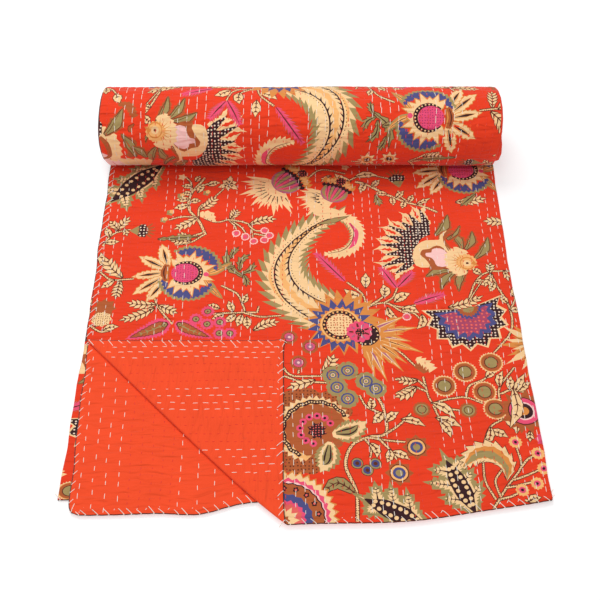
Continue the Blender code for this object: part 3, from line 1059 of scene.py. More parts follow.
def fan_flower(pen: Pen) -> None:
    """Half a flower that opens downwards: a dotted dark zigzag rim, a blue one, and rows of berries.

    Args:
        pen: the pen.
    """
    c = 50+29.8j
    for ink, reach, cut, low, high in (
        (CREAM, 5.65, 0.17, 172, 394), (BLACK_CREAM, 5.3, 0.17, 173, 392), (BLUE, 4.1, 0.16, 176, 389),
        (PLUM_CORAL, 3.35, 0.2, 180, 386),
    ):
        star = []
        for n, angle in enumerate(np.linspace(low, high, 19)):
            star.append(
                c + reach * (1 - cut * (n % 2)) * (1.05 if n in (0, 18) else 1) * squashed(angle / 360, 1.02)
            )
        pen.fill(ink, [*star, c + 0.4+1.1j])
    for ink, r in ((BLUE, 1.95), (RUST, 1.5), (OLIVE, 0.9)):
        pen.disc(ink, c + 0.3+1.3j, r, 9, 0.16, soft=True, arc=(192, 372))
    pen.fern(c - 2.2+1.3j, c + 2.6+3.3j, 0.8, -0.06, 6)
    pen.stem(c + 0.4+1.9j, c + 1.2+3.4j, c + 2.8+6j, w=0.07)


def scallop_flower(pen: Pen) -> None:
    """A round flower on a dotted brown cloud: a scalloped black chain, small pink blooms and a dark heart.

    Args:
        pen: the pen.
    """
    c = 29.9+12.4j
    for far, r, squash in (
        (-1.6+3.6j, 3.6, 0.7), (1.4+3.2j, 3.4, 0.75), (-2.6-3.6j, 3.2, 0.8), (-0.8-4.4j, 2.2, 0.8)
    ):
        pen.disc(RUST_BROWN, c + far, r, 7, 0.12, squash, soft=True)
    pen.disc(CREAM, c - 0.25+0.1j, 4.95, 22, 0.10, 0.98, arc=(25, 250))
    pen.disc(PEACH, c - 0.1+0j, 4.55, 16, 0.06, 0.98, arc=(20, 255))
    pen.disc(RUST, c, 3.9, 20, 0.05, 0.97)
    chain = curve([c + (4 + 0.2 * (n % 2)) * squashed((28 + n * 10.2) / 360, 0.98) for n in range(22)], 2)
    pen.ribbon(BLACK, chain, (0.24, 0.3, 0.3, 0.24), steps=1)
    for spot, _ in walk(chain, 0.36, 15.4):
        pen.disc(CREAM, spot, 0.12)
    for n in range(9):
        spot = c + 2 * squashed(0.08 + n * 0.08, 0.98)
        pen.berry(spot, (MAGENTA, 0.5, 7, 0.14), (BLACK, 0.2))
    pen.fill(BLACK_CORAL, [c + 0.1 - 0.1j + (0.9 + 0.4 * (n % 2)) * squashed(n / 16) for n in range(16)])
    for a, b in ((2-0.7j, 6.3+1.3j), (1.7-1.7j, 0.4-5.9j)):
        mid = (a + b) / 2 + 0.2 - 0.4j
        for ink, w, depth in ((OLIVE, 1.45, 0.3), (CREAM, 0.95, 0.26)):
            pen.ribbon(ink, [c + a, c + mid, c + b], (0.3, w * 0.85, w, w * 0.6, 0), teeth=8, depth=depth)
        for ink, w in ((OLIVE, 0.72), (BLACK, 0.5), (OLIVE, 0.26)):
            pen.ribbon(
                ink, [c + a * 0.9 + b * 0.1, c + mid, c + a * 0.25 + b * 0.75], (w * 0.3, w, w * 0.7, 0),
                steps=4,
            )


def ringed_flower(pen: Pen, c: complex) -> None:
    """A flower of toothed rings in cream, magenta, brown and blue, with dark seeds in the brown one.

    Args:
        pen: the pen.
        c: its middle.
    """
    for ink, r, teeth, depth in (
        (MUSTARD, 6.6, 40, 0.10), (CREAM, 6.3, 40, 0.08), (MAGENTA, 5.6, 34, 0.06), (PINK, 5.1, 30, 0.03),
        (BLACK, 4.95, 28, 0.03), (RUST, 4.8, 28, 0.03), (BLUE, 3.5, 20, 0.05), (MAGENTA, 2.7, 20, 0.10),
        (CORAL, 2.3, 16, 0.10), (CREAM, 1.9, 12, 0.34), (RUST, 0.8, 8, 0.3),
    ):
        pen.disc(ink, c, r, teeth, depth)
    for n in range(18):
        spot = c + 4.15 * squashed((n + 0.5) / 18)
        pen.disc(BLACK, spot, 0.42, 5, 0.3, turn=n * 20)
        pen.disc(CORAL, spot, 0.16)


def spotted_leaf(
    pen: Pen, a: complex, b: complex, w: float, left: Sequence[float], right: Sequence[float]
) -> None:
    """A lobed pale leaf with a wavy olive border and a dark, pale-spotted heart.

    Args:
        pen: the pen.
        a: the leaf's foot.
        b: its tip.
        w: half the width of its heart.
        left: how far each lobe on its left side reaches, from foot to tip.
        right: the same on the right side.
    """
    ahead = unit(b - a)
    lobes = []
    for sign, reaches in ((1, left), (-1, right)):
        for n, reach in enumerate(reaches):
            spot = a + (b - a) * (0.2 + 0.55 * n / max(1, len(reaches) - 1))
            lobes.append((spot, spot + ahead * reach * complex(0.62, sign)))
    for ink, grow, teeth, depth in ((OLIVE, 0.5, 4, 0.34), (CREAM, 0, 6, 0.24)):
        for spot, tip in lobes:
            far = tip + unit(tip - spot) * grow * 1.7
            widths = (0.8 + grow * 0.6, 0.5 + grow, 0.3 + grow * 0.3, 0)
            pen.ribbon(ink, [spot, (spot + far) / 2, far], widths, teeth=teeth, depth=depth, lean=1.5)
        pen.ribbon(
            ink, [a, (a + b) / 2, b + ahead * (0.7 + grow * 2)], (0.3 + grow, w + 0.2 + grow, 0.3 + grow, 0),
            teeth=6, depth=0.3, lean=1.2,
        )
    for spot, tip in lobes:
        pen.ribbon(BLACK, [spot, (spot + tip) / 2, tip * 0.85 + spot * 0.15], (0.16, 0.07, 0.01), steps=3)
        for place, way in walk([spot, tip], 0.5, abs(tip - spot))[2:]:
            for sign in (1, -1):
                pen.fill(BLACK, [place, place + way * 0.14, place + way * 0.5 * complex(0.6, sign)])
    heart = (0.15, w, w * 0.9, 0)
    pen.ribbon(BLACK, [a, (a + b) / 2, b], heart)
    for n in range(8):
        t = 0.12 + n * 0.098
        reach = w * 0.52 * math.sin(math.pi * (0.12 + n * 0.105))
        for sign in (1, -1):
            pen.disc(CREAM, a + (b - a) * t + ahead * complex(0.1, sign * reach), 0.27)


def crescent(pen: Pen, *knots: complex) -> None:
    """A curled leaf in mustard and olive with pale teeth.

    Args:
        pen: the pen.
        knots: places that its middle line goes through.
    """
    pen.ribbon(
        BROWN, knots, (0.05, 1.1, 1.6, 1.2, 0.05), (0.05, 0.8, 1, 0.7, 0.05), teeth=12, depth=0.5, lean=-1.2
    )
    pen.ribbon(CREAM, knots, (0, 1.02, 1.5, 1.1, 0), (0, 0.7, 0.9, 0.6, 0), teeth=12, depth=0.46, lean=-1.2)
    pen.ribbon(MUSTARD, knots, (0, 0.6, 1, 0.7, 0), (0, 0.5, 0.6, 0.4, 0), teeth=11, depth=0.14)
    pen.ribbon(OLIVE, knots, (0, 0.2, 0.35, 0.2, 0), (0, 0.4, 0.5, 0.3, 0), teeth=7, depth=0.12)


def paisley(pen: Pen, a: complex, mid: complex, b: complex, w: float) -> None:
    """A magenta paisley from its round end at a to its tip at b, with a toothed edge and a dark-edged heart.

    Args:
        pen: the pen.
        a: the middle of its round end.
        mid: a place half way.
        b: its tip.
        w: half its width.
    """
    round_end = a + unit(a - mid) * w * 0.75
    halo = [w * share for share in (0.2, 1, 1.2, 1.15, 0.95, 0.75, 0.5, 0.25, 0)]
    pen.ribbon(MAGENTA, [round_end, a, mid, b], halo, teeth=14, depth=0.26, lean=0.2)
    inside = [width * 0.58 for width in halo]
    pen.edged(RUST, BROWN, 0.1, [a * 1.2 - mid * 0.2, mid, b * 0.8 + mid * 0.2], inside, teeth=10, depth=0.1)
    pen.hatch([a, mid, b * 0.7 + mid * 0.3], w * 0.6, 4, OLIVE)
    pen.berry(a, (BROWN, w * 0.4), (OLIVE, w * 0.32), (BROWN, w * 0.12))


def feather(pen: Pen, a: complex, b: complex) -> None:
    """A magenta feather with a dark shaft and an uneven edge.

    Args:
        pen: the pen.
        a: the foot.
        b: the tip.
    """
    mid, w = (a + b) / 2, 0.7
    pen.ribbon(RUST, [a, mid, b], (0.15, w * 0.75, 0.1), teeth=10, depth=0.5, lean=1.2)
    pen.ribbon(MAGENTA, [a, mid, b], (0.15, w * 0.62, 0.1), teeth=10, depth=0.46, lean=1.2)
    pen.ribbon(BROWN, [a, mid, b], (0.05, 0.09, 0), steps=4)


def clustered(pen: Pen, *spots: complex) -> None:
    """Olive fruits that grow together, each with a blue ring.

    Args:
        pen: the pen.
        spots: their middles.
    """
    for spot in spots:
        pen.disc(OLIVE, spot, 1.42, 11, 0.08, soft=True)
    for p, q in zip(spots, spots[1:]):
        pen.ribbon(OLIVE, [p, q], (0.8, 0.8), steps=2)
    for spot in spots:
        pen.berry(spot, (BLUE, 0.86), (OLIVE, 0.66), (BLUE, 0.46, 10, 0.2), (CREAM, 0.3), (OLIVE, 0.2))


SUN_BERRY = ((CREAM, 1.62, 26, 0.12), (MUSTARD, 1.38), (RUST, 1.28), (BROWN, 0.92), (OLIVE, 0.80))
STAR_BERRY = ((RUST, 1.75, 8, 0.26), (BROWN, 1.18), (PEACH, 1.05), (BLUE, 0.78), (OLIVE, 0.46))
PINK_BERRY = ((PINK, 0.64, 12, 0.1), (CORAL, 0.46), (MAGENTA, 0.3, 7, 0.2))
DAISY = ((PEACH, 0.86, 12, 0.16), (MAGENTA, 0.42), (BLACK, 0.2))
MOSS_BERRY = ((RUST, 1.15, 12, 0.1), (BROWN, 0.78, 16, 0.14), (MAGENTA, 0.68), (PLUM, 0.5), (PINK, 0.2))
ROSE_BERRY = ((MAGENTA, 0.98, 12, 0.2), (BROWN, 0.5), (OLIVE, 0.4), (BROWN, 0.14))
BERRY_SPRAY = (18.9+44.1j, 20.2+43.5j, 21.4+42.7j, 22.9+42.9j, 23.6+43.7j, 22.9+44.6j)
BLUE_BERRY = ((BROWN, 0.78), (OLIVE, 0.7), (BLUE, 0.52), (BROWN, 0.26))
PLAIN_BERRY = ((RUST, 1.15, 16, 0.1), (OLIVE, 0.82), (BROWN, 0.6), (OLIVE, 0.5))


def draw_field(pen: Pen) -> None:
    """Draws one repeat of the print, 57 cm by 58 cm.

    Args:
        pen: the pen.
    """
    draw_stems(pen)
    draw_sprigs(pen)
    disc_flower(pen, 12.3+37j)
    disc_flower(pen, 51.9+56.4j)
    thistle(pen, 32.8+51.6j, 66, 0.86, (82, 172))
    thistle(pen, 25.7+53.8j, 36, 1, (118, 252))
    plume(pen)
    sun_flower(pen)
    bird(pen)
    fan_flower(pen)
    scallop_flower(pen)
    ringed_flower(pen, 26+0.4j)
    spotted_leaf(pen, 48.4+1.4j, 45.5+8.4j, 1.1, (2.5, 3.2, 2), (2.2, 2, 1.8))
    spotted_leaf(pen, 42.4+0j, 35.4+3.2j, 1.2, (1.6, 1.4), (2.9, 2.8, 2))
    spotted_leaf(pen, 7.4+57.4j, 0.4+50j, 1.5, (2.6, 3, 2.6), (2.4, 2.6, 2.4))
    crescent(pen, 47.4+7.2j, 49.4+9j, 51.4+8.9j, 52.7+7.4j, 52.6+5.4j)
    paisley(pen, 10+28.3j, 8.3+27.4j, 5+26j, 1.05)
    paisley(pen, 12+28.3j, 13.5+27.4j, 16.6+26.1j, 0.85)
    for a, b in (
        (34+35.6j, 30+40.6j), (41+34.4j, 39+38j), (41.2+34.6j, 43.4+37.2j), (43.2+31.8j, 47.4+33.4j)
    ):
        feather(pen, a, b)
    clustered(pen, 32.1+20.4j, 34+21.1j)
    clustered(pen, 32.6+18.6j, 33.9+16.9j)
    clustered(pen, 36.3+19.5j, 37.5+18.4j)
    for rings, spots in (
        (SUN_BERRY, (49+20.9j, 52.5+22.3j, 46.2+18.8j, 51.2+17.9j, 52.3+15.4j)),
        (PLAIN_BERRY, (48.9+15.2j, 43.1+15.4j)), (STAR_BERRY, (42.1+10.1j, 39.8+6.6j)),
        (BLUE_BERRY, (34.8+7.8j, 36+6.9j, 37+7.8j)),
        (DAISY, (54.2+10.7j, 56.7+9.2j, 57.2+7.2j, 56.2+5.2j, 54.3+4.3j)),
        (PINK_BERRY, (42.1+29.6j, *(() if pen.whole else BERRY_SPRAY))),
        (MOSS_BERRY, (26.5+26.3j, 29.2+24.8j, 27.7+22.3j)),
        (ROSE_BERRY, (14.1+29.2j, 15.6+30.5j, 15.6+28.4j, 17.3+28.7j, 17.3+26.9j, 18.7+26.9j)),
    ):
        for spot in spots:
            pen.berry(spot, *rings)
    side_flower(pen, 55.8+15.1j)
    ray_flower(pen, 59+25j)
    if pen.whole:
        draw_corner(pen)
        draw_next_block(pen)


def draw_next_block(pen: Pen) -> None:
    """Draws the start of the next printing block, past a straight join near the bird's beak.

    Args:
        pen: the pen.
    """
    pen.fill(GROUND, [52.45+24j, 62+24j, 62+58j, 52.45+58j])
    pen.ribbon(RUST, [56.4+35j, 54.8+35.4j, 53.9+37j], (0.2, 0.5, 0.3), teeth=7, depth=0.25)
    pen.ribbon(RUST, [54+40j, 54.2+41.4j, 55.2+42.8j], (0.2, 0.5, 0.3), teeth=5, depth=0.2)
    pen.edged(RUST, BROWN, 0.07, [54+37.9j, 54.5+38.4j, 54.5+38.9j], (0.05, 0.3, 0.15))
    pen.ribbon(CREAM, [52.5+45.4j, 54.6+44.8j, 57+45j, 59.4+44.6j], (1.6, 1.3, 1.7, 2.2), teeth=9, depth=0.3)
    pen.ribbon(PINK, [54.4+46.4j, 57+46.2j, 58.2+44j, 59.6+42.8j], (0.6, 1.2, 1.3, 1))
    pen.ribbon(
        CREAM, [59.6+38.2j, 57.4+39.8j, 56.9+42.2j, 57.8+43.8j], (0.3, 0.8, 0.8, 0.3), teeth=9, depth=0.3
    )
    pen.ribbon(RUST, [58.8+39.6j, 57.9+40.8j, 57.9+42.6j, 59.4+43.4j], (0.2, 0.4, 0.3, 0.1))
    pen.ribbon(BLACK_CREAM, [59.6+36.6j, 59.2+38.4j, 59.7+40.2j], (0.3, 0.7, 0.3), teeth=4, depth=0.2)
    for a, tip, w in (
        (58.1+39.3j, 55.7+35.7j, 0.72), (54.2+42.8j, 55.8+39.2j, 0.62), (52.7+43j, 54.4+41j, 0.5)
    ):
        olive_leaf(pen, a, tip, w)
    pen.stem(59.4+30.6j, 57.8+31.8j, 56.8+33.4j)
    pen.leaf(57+33.2j, 56.2+34.9j, 0.55, veins=1)
    pen.leaf(58.6+31.4j, 58.4+33.2j, 0.5)


def draw_corner(pen: Pen) -> None:
    """Draws the near left corner of the repeat, which the turned-back corner hides on the top layer.

    Args:
        pen: the pen.
    """
    disc_flower(pen, 11.4+10.6j, 36)
    thistle(pen, 19+19j, -52, 0.8, (120, 240))
    spotted_leaf(pen, 3.6+15j, 6.4+22j, 1, (1.8, 2, 1.6), (2, 2.2, 1.6))
    for knots in (
        (3+0.6j, 3.4+3.6j, 6.6+5.6j, 9.2+7.6j), (3.4+3.4j, 1.4+6.2j, 1.4+9.8j),
        (12.8+14.2j, 15+16j, 17.4+16.8j), (14+1.2j, 17.6+3.4j, 19.2+7.4j, 18.4+11j),
        (18.6+5.2j, 21.4+7j, 22.6+10.2j),
    ):
        pen.stem(*knots)
    for a, b, w in (
        (2.4+4.2j, 0.8+6.6j, 0.5), (1.4+7.6j, 3.2+9.6j, 0.5), (5.6+5j, 7+3j, 0.5),
        (16.4+2.6j, 18.4+1.2j, 0.5), (18.8+6j, 16.8+7.2j, 0.5), (20.2+6.2j, 22.4+5.6j, 0.5),
        (15.4+16.2j, 14.6+18.4j, 0.5), (1.4+9.8j, 1.8+12.2j, 0.6), (22.6+10.2j, 23.6+12.6j, 0.6),
        (18.4+11j, 17.8+13.4j, 0.6), (10.4+20.6j, 12.4+23.4j, 0.7), (9.8+20.8j, 8.4+24j, 0.6),
    ):
        pen.leaf(a, b, w)
    for spot in (21.4+14j, 23.2+15.6j, 10+1.8j, 8.2+1.6j):
        pen.berry(spot, *PINK_BERRY)


def side_flower(pen: Pen, c: complex) -> None:
    """A flower seen from the side, with rust rays and a magenta ring, and two pale leaves at its foot.

    Args:
        pen: the pen.
        c: its middle.
    """
    pen.disc(RUST, c, 3.3, 14, 0.3)
    pen.berry(c, (BROWN, 2), (MAGENTA, 1.85), (PINK, 1.3), (BLACK, 1.1), (MUSTARD, 0.6))
    pen.leaf(c + (-0.9+3.4j), c + (-2-2.4j), 0.62, 0.12)


def ray_flower(pen: Pen, c: complex) -> None:
    """A star of long mustard and cream rays.

    Args:
        pen: the pen.
        c: its middle.
    """
    for n in range(15):
        way = squashed(0.28 + n * 0.031)
        reach = 4.6 + 1.1 * math.sin(2.1 * n)
        pen.ribbon(
            MUSTARD if n % 2 else CREAM, [c, c + way * reach * 0.6, c + way * reach], (0.5, 0.42, 0), teeth=4,
            depth=0.1,
        )
        if n % 2:
            pen.ribbon(BROWN, [c + way * 1.4, c + way * 3.4], (0.1, 0), steps=2)
    pen.disc(RUST, c, 2, 12, 0.2)


def draw_stems(pen: Pen) -> None:
    """Draws the jointed stems that the flowers and berries grow on.

    Args:
        pen: the pen.
    """
    # In whole millimetres.
    for knots in (
        (346+2j, 346+40j, 334+74j, 342+102j, 362+114j, 384+119j, 385+146j, 376+172j, 356+190j),
        (362+114j, 386+110j, 408+108j), (384+119j, 402+132j, 417+148j), (376+112j, 388+98j, 396+84j),
        (358+112j, 366+100j, 364+86j), (380+148j, 362+158j, 354+174j), (382+256j, 406+242j, 429+216j),
        (436+202j, 440+176j, 445+162j), (445+162j, 466+169j, 488+171j, 508+162j),
        (488+171j, 494+188j, 514+198j, 522+210j), (446+161j, 466+154j, 480+152j),
        (446+159j, 452+142j, 462+128j), (439+180j, 420+187j, 400+176j), (438+186j, 426+198j, 400+198j),
        (506+18j, 526+48j, 545+74j, 542+100j), (510+30j, 500+54j, 500+80j), (534+56j, 550+62j, 567+70j),
        (524+46j, 536+48j, 558+54j), (544+72j, 554+84j, 564+90j), (514+30j, 528+34j, 540+40j),
        (516+34j, 512+54j, 522+70j), (504+104j, 514+128j, 536+142j), (530+164j, 532+186j, 554+216j),
        (532+176j, 546+182j, 564+178j), (506+324j, 518+354j, 536+371j, 569+374j),
        (544+352j, 559+314j, 556+272j, 530+238j), (559+304j, 574+336j), (540+370j, 546+350j),
        (343+354j, 363+334j, 368+310j), (368+312j, 390+319j, 414+312j, 434+315j),
        (392+319j, 404+328j, 411+344j), (398+318j, 416+304j, 430+302j, 442+288j),
        (370+312j, 388+326j, 392+332j), (146+438j, 135+464j, 119+488j, 121+516j, 136+542j, 139+548j),
        (122+520j, 119+538j, 112+548j), (126+524j, 144+536j, 156+540j),
        (134+466j, 135+490j, 152+506j, 168+526j), (129+472j, 109+472j, 92+466j),
        (142+442j, 116+432j, 86+432j), (146+440j, 124+424j, 104+420j), (142+470j, 160+462j, 178+467j),
        (178+466j, 186+456j, 189+448j), (180+466j, 196+452j, 202+442j), (180+466j, 206+458j, 213+434j),
        (206+456j, 216+446j, 224+446j), (214+440j, 224+438j, 230+437j), (4+418j, 16+440j, 39+448j),
        (4+372j, 22+358j, 52+360j), (172+348j, 194+334j, 203+314j, 206+302j), (156+300j, 184+302j, 222+303j),
        (205+302j, 226+296j, 254+298j), (222+303j, 224+314j), (110+284j, 89+312j, 83+328j),
        (2+282j, 16+272j, 30+274j), (256+218j, 270+203j, 310+203j), (256+204j, 280+195j, 320+192j),
        (277+206j, 278+216j), (350+542j, 376+554j, 416+544j), (290+546j, 310+564j, 346+556j),
        (360+540j, 376+534j, 406+514j, 432+500j, 456+492j, 476+480j), (422+522j, 424+512j, 434+502j),
        (544+30j, 570+24j), (544+120j, 552+130j), (360+206j, 350+202j), (330+220j, 318+214j, 306+204j),
    ):
        pen.stem(*[spot / 10 for spot in knots], w=0.17 if len(knots) > 5 else 0.12)


def draw_sprigs(pen: Pen) -> None:
    """Draws the leaves and fronds between the flowers.

    Args:
        pen: the pen.
    """
    # From and to in whole millimetres, and how it bends.
    for a, b, w, bow in (
        (368+344j, 369+370j, 0.55, 0), (392+328j, 392+350j, 0.62, -0.1), (362+329j, 339+342j, 0.55, 0.1),
        (406+320j, 428+335j, 0.6, 0.1), (414+308j, 438+302j, 0.45, 0.16), (396+312j, 409+294j, 0.4, -0.2),
        (441+300j, 433+276j, 0.45, 0.2), (382+150j, 369+134j, 0.5, 0.05), (386+136j, 402+150j, 0.45, 0.1),
        (368+154j, 367+170j, 0.45, -0.1), (390+94j, 412+84j, 0.42, 0.1), (388+98j, 384+80j, 0.42, 0.1),
        (364+106j, 372+86j, 0.42, 0.2), (404+140j, 434+130j, 0.4, 0.1), (444+164j, 472+141j, 0.5, 0.1),
        (447+142j, 478+129j, 0.5, 0.05), (452+138j, 464+114j, 0.46, 0.1), (516+200j, 530+209j, 0.4, 0.1),
        (532+186j, 538+210j, 0.4, 0.1), (544+182j, 548+202j, 0.42, 0), (554+180j, 572+194j, 0.42, 0),
        (550+178j, 566+206j, 0.4, 0), (512+122j, 534+114j, 0.45, 0.1), (514+128j, 506+104j, 0.4, 0.1),
        (532+142j, 546+122j, 0.45, 0.1), (548+28j, 564+34j, 0.4, 0.1), (130+518j, 138+536j, 0.42, 0),
        (120+500j, 136+502j, 0.42, 0.1), (122+530j, 106+532j, 0.36, 0), (122+516j, 108+518j, 0.36, 0),
        (119+506j, 100+504j, 0.42, 0), (119+494j, 98+488j, 0.45, 0), (144+532j, 162+538j, 0.42, 0.1),
        (126+540j, 132+552j, 0.34, 0), (354+540j, 330+556j, 0.5, 0.1), (374+536j, 366+519j, 0.45, 0),
        (360+550j, 394+552j, 0.5, 0.1), (384+530j, 396+544j, 0.36, 0), (406+516j, 389+518j, 0.36, 0),
        (412+510j, 414+494j, 0.36, 0), (418+508j, 430+522j, 0.36, 0), (430+502j, 426+488j, 0.36, 0),
        (436+500j, 443+514j, 0.36, 0), (172+310j, 156+316j, 0.36, 0), (202+318j, 208+334j, 0.36, 0),
        (190+304j, 183+322j, 0.42, 0), (194+300j, 180+286j, 0.42, 0), (202+300j, 196+280j, 0.42, 0),
        (208+296j, 210+276j, 0.45, 0), (178+300j, 162+292j, 0.4, 0), (517+356j, 536+352j, 0.42, 0),
        (528+368j, 516+378j, 0.42, 0), (544+354j, 536+338j, 0.4, 0), (558+318j, 549+332j, 0.36, 0),
        (560+306j, 574+310j, 0.4, 0), (566+330j, 574+350j, 0.4, 0), (6+424j, 26+426j, 0.4, 0),
        (12+434j, 4+452j, 0.4, 0), (14+380j, 3+406j, 0.5, 0.1), (26+358j, 9+344j, 0.42, 0),
        (9+280j, 19+294j, 0.4, 0), (20+274j, 40+280j, 0.4, 0.1),
    ):
        pen.leaf(a / 10, b / 10, w, bow)
    pen.leaf(34.7+3.6j, 30.2+3.3j, 0.72, -0.38, OLIVE, veins=7)
    for a, b, w, bow, pairs in (
        (36+362j, 9+398j, 1.15, 0.08, 5), (34+356j, 30+326j, 0.8, 0, 5), (86+316j, 46+320j, 0.8, 0.06, 5),
        (84+310j, 39+290j, 0.8, 0.05, 6), (90+314j, 116+302j, 0.75, 0, 4), (134+472j, 100+448j, 0.8, 0.05, 5),
        (136+486j, 158+512j, 0.85, -0.08, 5), (180+468j, 190+486j, 0.8, 0, 4),
        (208+458j, 246+468j, 0.8, 0.08, 5), (124+432j, 106+440j, 0.6, 0, 3), (126+428j, 98+426j, 0.7, 0, 4),
        (19+446j, 36+472j, 0.75, 0, 4), (22+448j, 8+464j, 0.7, 0, 3), (30+449j, 36+436j, 0.5, 0, 2),
        (218+274j, 252+288j, 0.8, 0.1, 5), (308+210j, 323+236j, 0.95, -0.1, 4),
        (298+196j, 262+184j, 0.8, 0, 4), (428+196j, 402+200j, 0.7, 0.1, 4), (426+186j, 398+172j, 0.8, 0.1, 4),
        (504+500j, 550+508j, 0.9, -0.04, 5), (572+462j, 540+464j, 0.9, 0, 4), (539+370j, 542+388j, 0.7, 0, 3),
        (542+368j, 530+346j, 0.6, 0, 3), (560+374j, 564+356j, 0.5, 0, 2), (448+496j, 468+508j, 0.45, 0, 2),
        (324+552j, 310+540j, 0.6, 0, 3), (562+122j, 560+108j, 0.5, 0, 2),
    ):
        pen.fern(a / 10, b / 10, w, bow, pairs)
    for a, b, w, bow in (
        (20.3+36.2j, 17.7+41.4j, 0.6, 0.2), (19.6+37.4j, 21.1+40.4j, 0.42, 0.2),
        (19.9+36.9j, 21.6+38.9j, 0.4, -0.2), (18.9+38.2j, 16.9+38.6j, 0.4, 0.2),
        (20.2+36.6j, 20.6+34.6j, 0.36, 0.1), (18.3+39.6j, 19.4+41.6j, 0.34, 0.1),
        (53.4+51.6j, 51+49.2j, 0.6, 0), (38.9+51.4j, 39.4+49.2j, 0.6, 0), (8+43j, 13.8+43.6j, 0.4, 0),
    ):
        knots = [a, (a + b) / 2 + (b - a) * 1j * bow, b]
        pen.edged(OLIVE, BROWN, 0.1, knots, (0.05, w * 0.7, 0), teeth=5, depth=0.3, lean=1.2)
        pen.ribbon(BLACK, knots, (0.03, 0.09, 0), steps=3)
    for c, turn in ((5.2+44.6j, 0), (42.2+54.2j, 100)):
        at = turned(c, turn)
        pen.ribbon(OLIVE, [at(-1.3+0j), at(0.2+0j), at(1+0j)], (0.1, 1.2, 0.9))
        for n in range(5):
            pen.ribbon(RUST, [at(0.4+0j), at(0.4 + 1.9 * squashed(0.06 * (n - 2)))], (0.3, 0.08), steps=2)
        pen.ribbon(
            BLACK_CREAM, [at(0.3+1.1j), at(0.6+0j), at(0.3-1.1j)], (0.4, 0.55, 0.4), teeth=4, depth=0.2
        )
    at = turned(43.4+21.4j, 50)
    pen.ribbon(RUST, [at(-0.4+0j), at(0.4+0j), at(1+0j)], (0.7, 1.1, 1.2))
    pen.ribbon(
        CREAM, [at(0.9+1.4j), at(1.2+0j), at(0.9-1.4j)], (0.2, 0.3, 0.2), (0.3, 0.6, 0.3), teeth=5, depth=0.4
    )
    pen.disc(RUST, 1.7+31j, 1.7, 8, 0.3)
    pen.disc(CREAM_BROWN, 1.6+29.2j, 1.4, 9, 0.14, 0.9)
    for c in (9.3+48j, 8.5+46.6j, 10.6+51.2j, 14.3+51.8j):
        pen.disc(OLIVE, c, 0.62, 5, 0.3)
        pen.disc(PEACH, c + 0.2+0.2j, 0.4, 5, 0.3)
    pen.ribbon(CREAM, [13.6+47.6j, 14.8+47.6j, 15.8+46.2j], (0.4, 0.62, 0.05), teeth=5, depth=0.2)
    for n in range(6):
        pen.leaf(17.5+53.5j, 17.5 + 53.5j + (1.2 + 0.5 * (n % 2)) * squashed(n / 6 + 0.06), 0.34, veins=1)
    for c in (34.6+56.9j, 10.6+54.9j):
        pen.disc(CREAM, c, 0.7, 5, 0.4)
    for c in (17.5+43.2j, 20.7+43.4j) if pen.whole else ():
        pen.berry(
            c, (BROWN, 1.55, 8, 0.42), (CREAM, 1.45, 8, 0.42), (MUSTARD, 0.72), (BLACK_CREAM, 0.5, 7, 0.2)
        )
    pen.disc(MAGENTA, 57.6+11.2j, 1, 8, 0.3)


# ---------------- finishes

INK_SCALE = 32.0
CLOTH_MAP = "cloth"
BAKE_MAP = "OFBake"


def new_material(name: str) -> tuple[Material, NodeTree, Node]:
    """Makes an empty material.

    Args:
        name: what the finish is called.

    Returns:
        The material, its tree and its Principled shader.
    """
    material = bpy.data.materials.new(name)
    material.use_nodes = True
    tree = material.node_tree
    tree.nodes.clear()
    shader = add_node(tree, "ShaderNodeBsdfPrincipled")
    add_node(tree, "ShaderNodeOutputMaterial", {"Surface": shader})
    return material, tree, shader


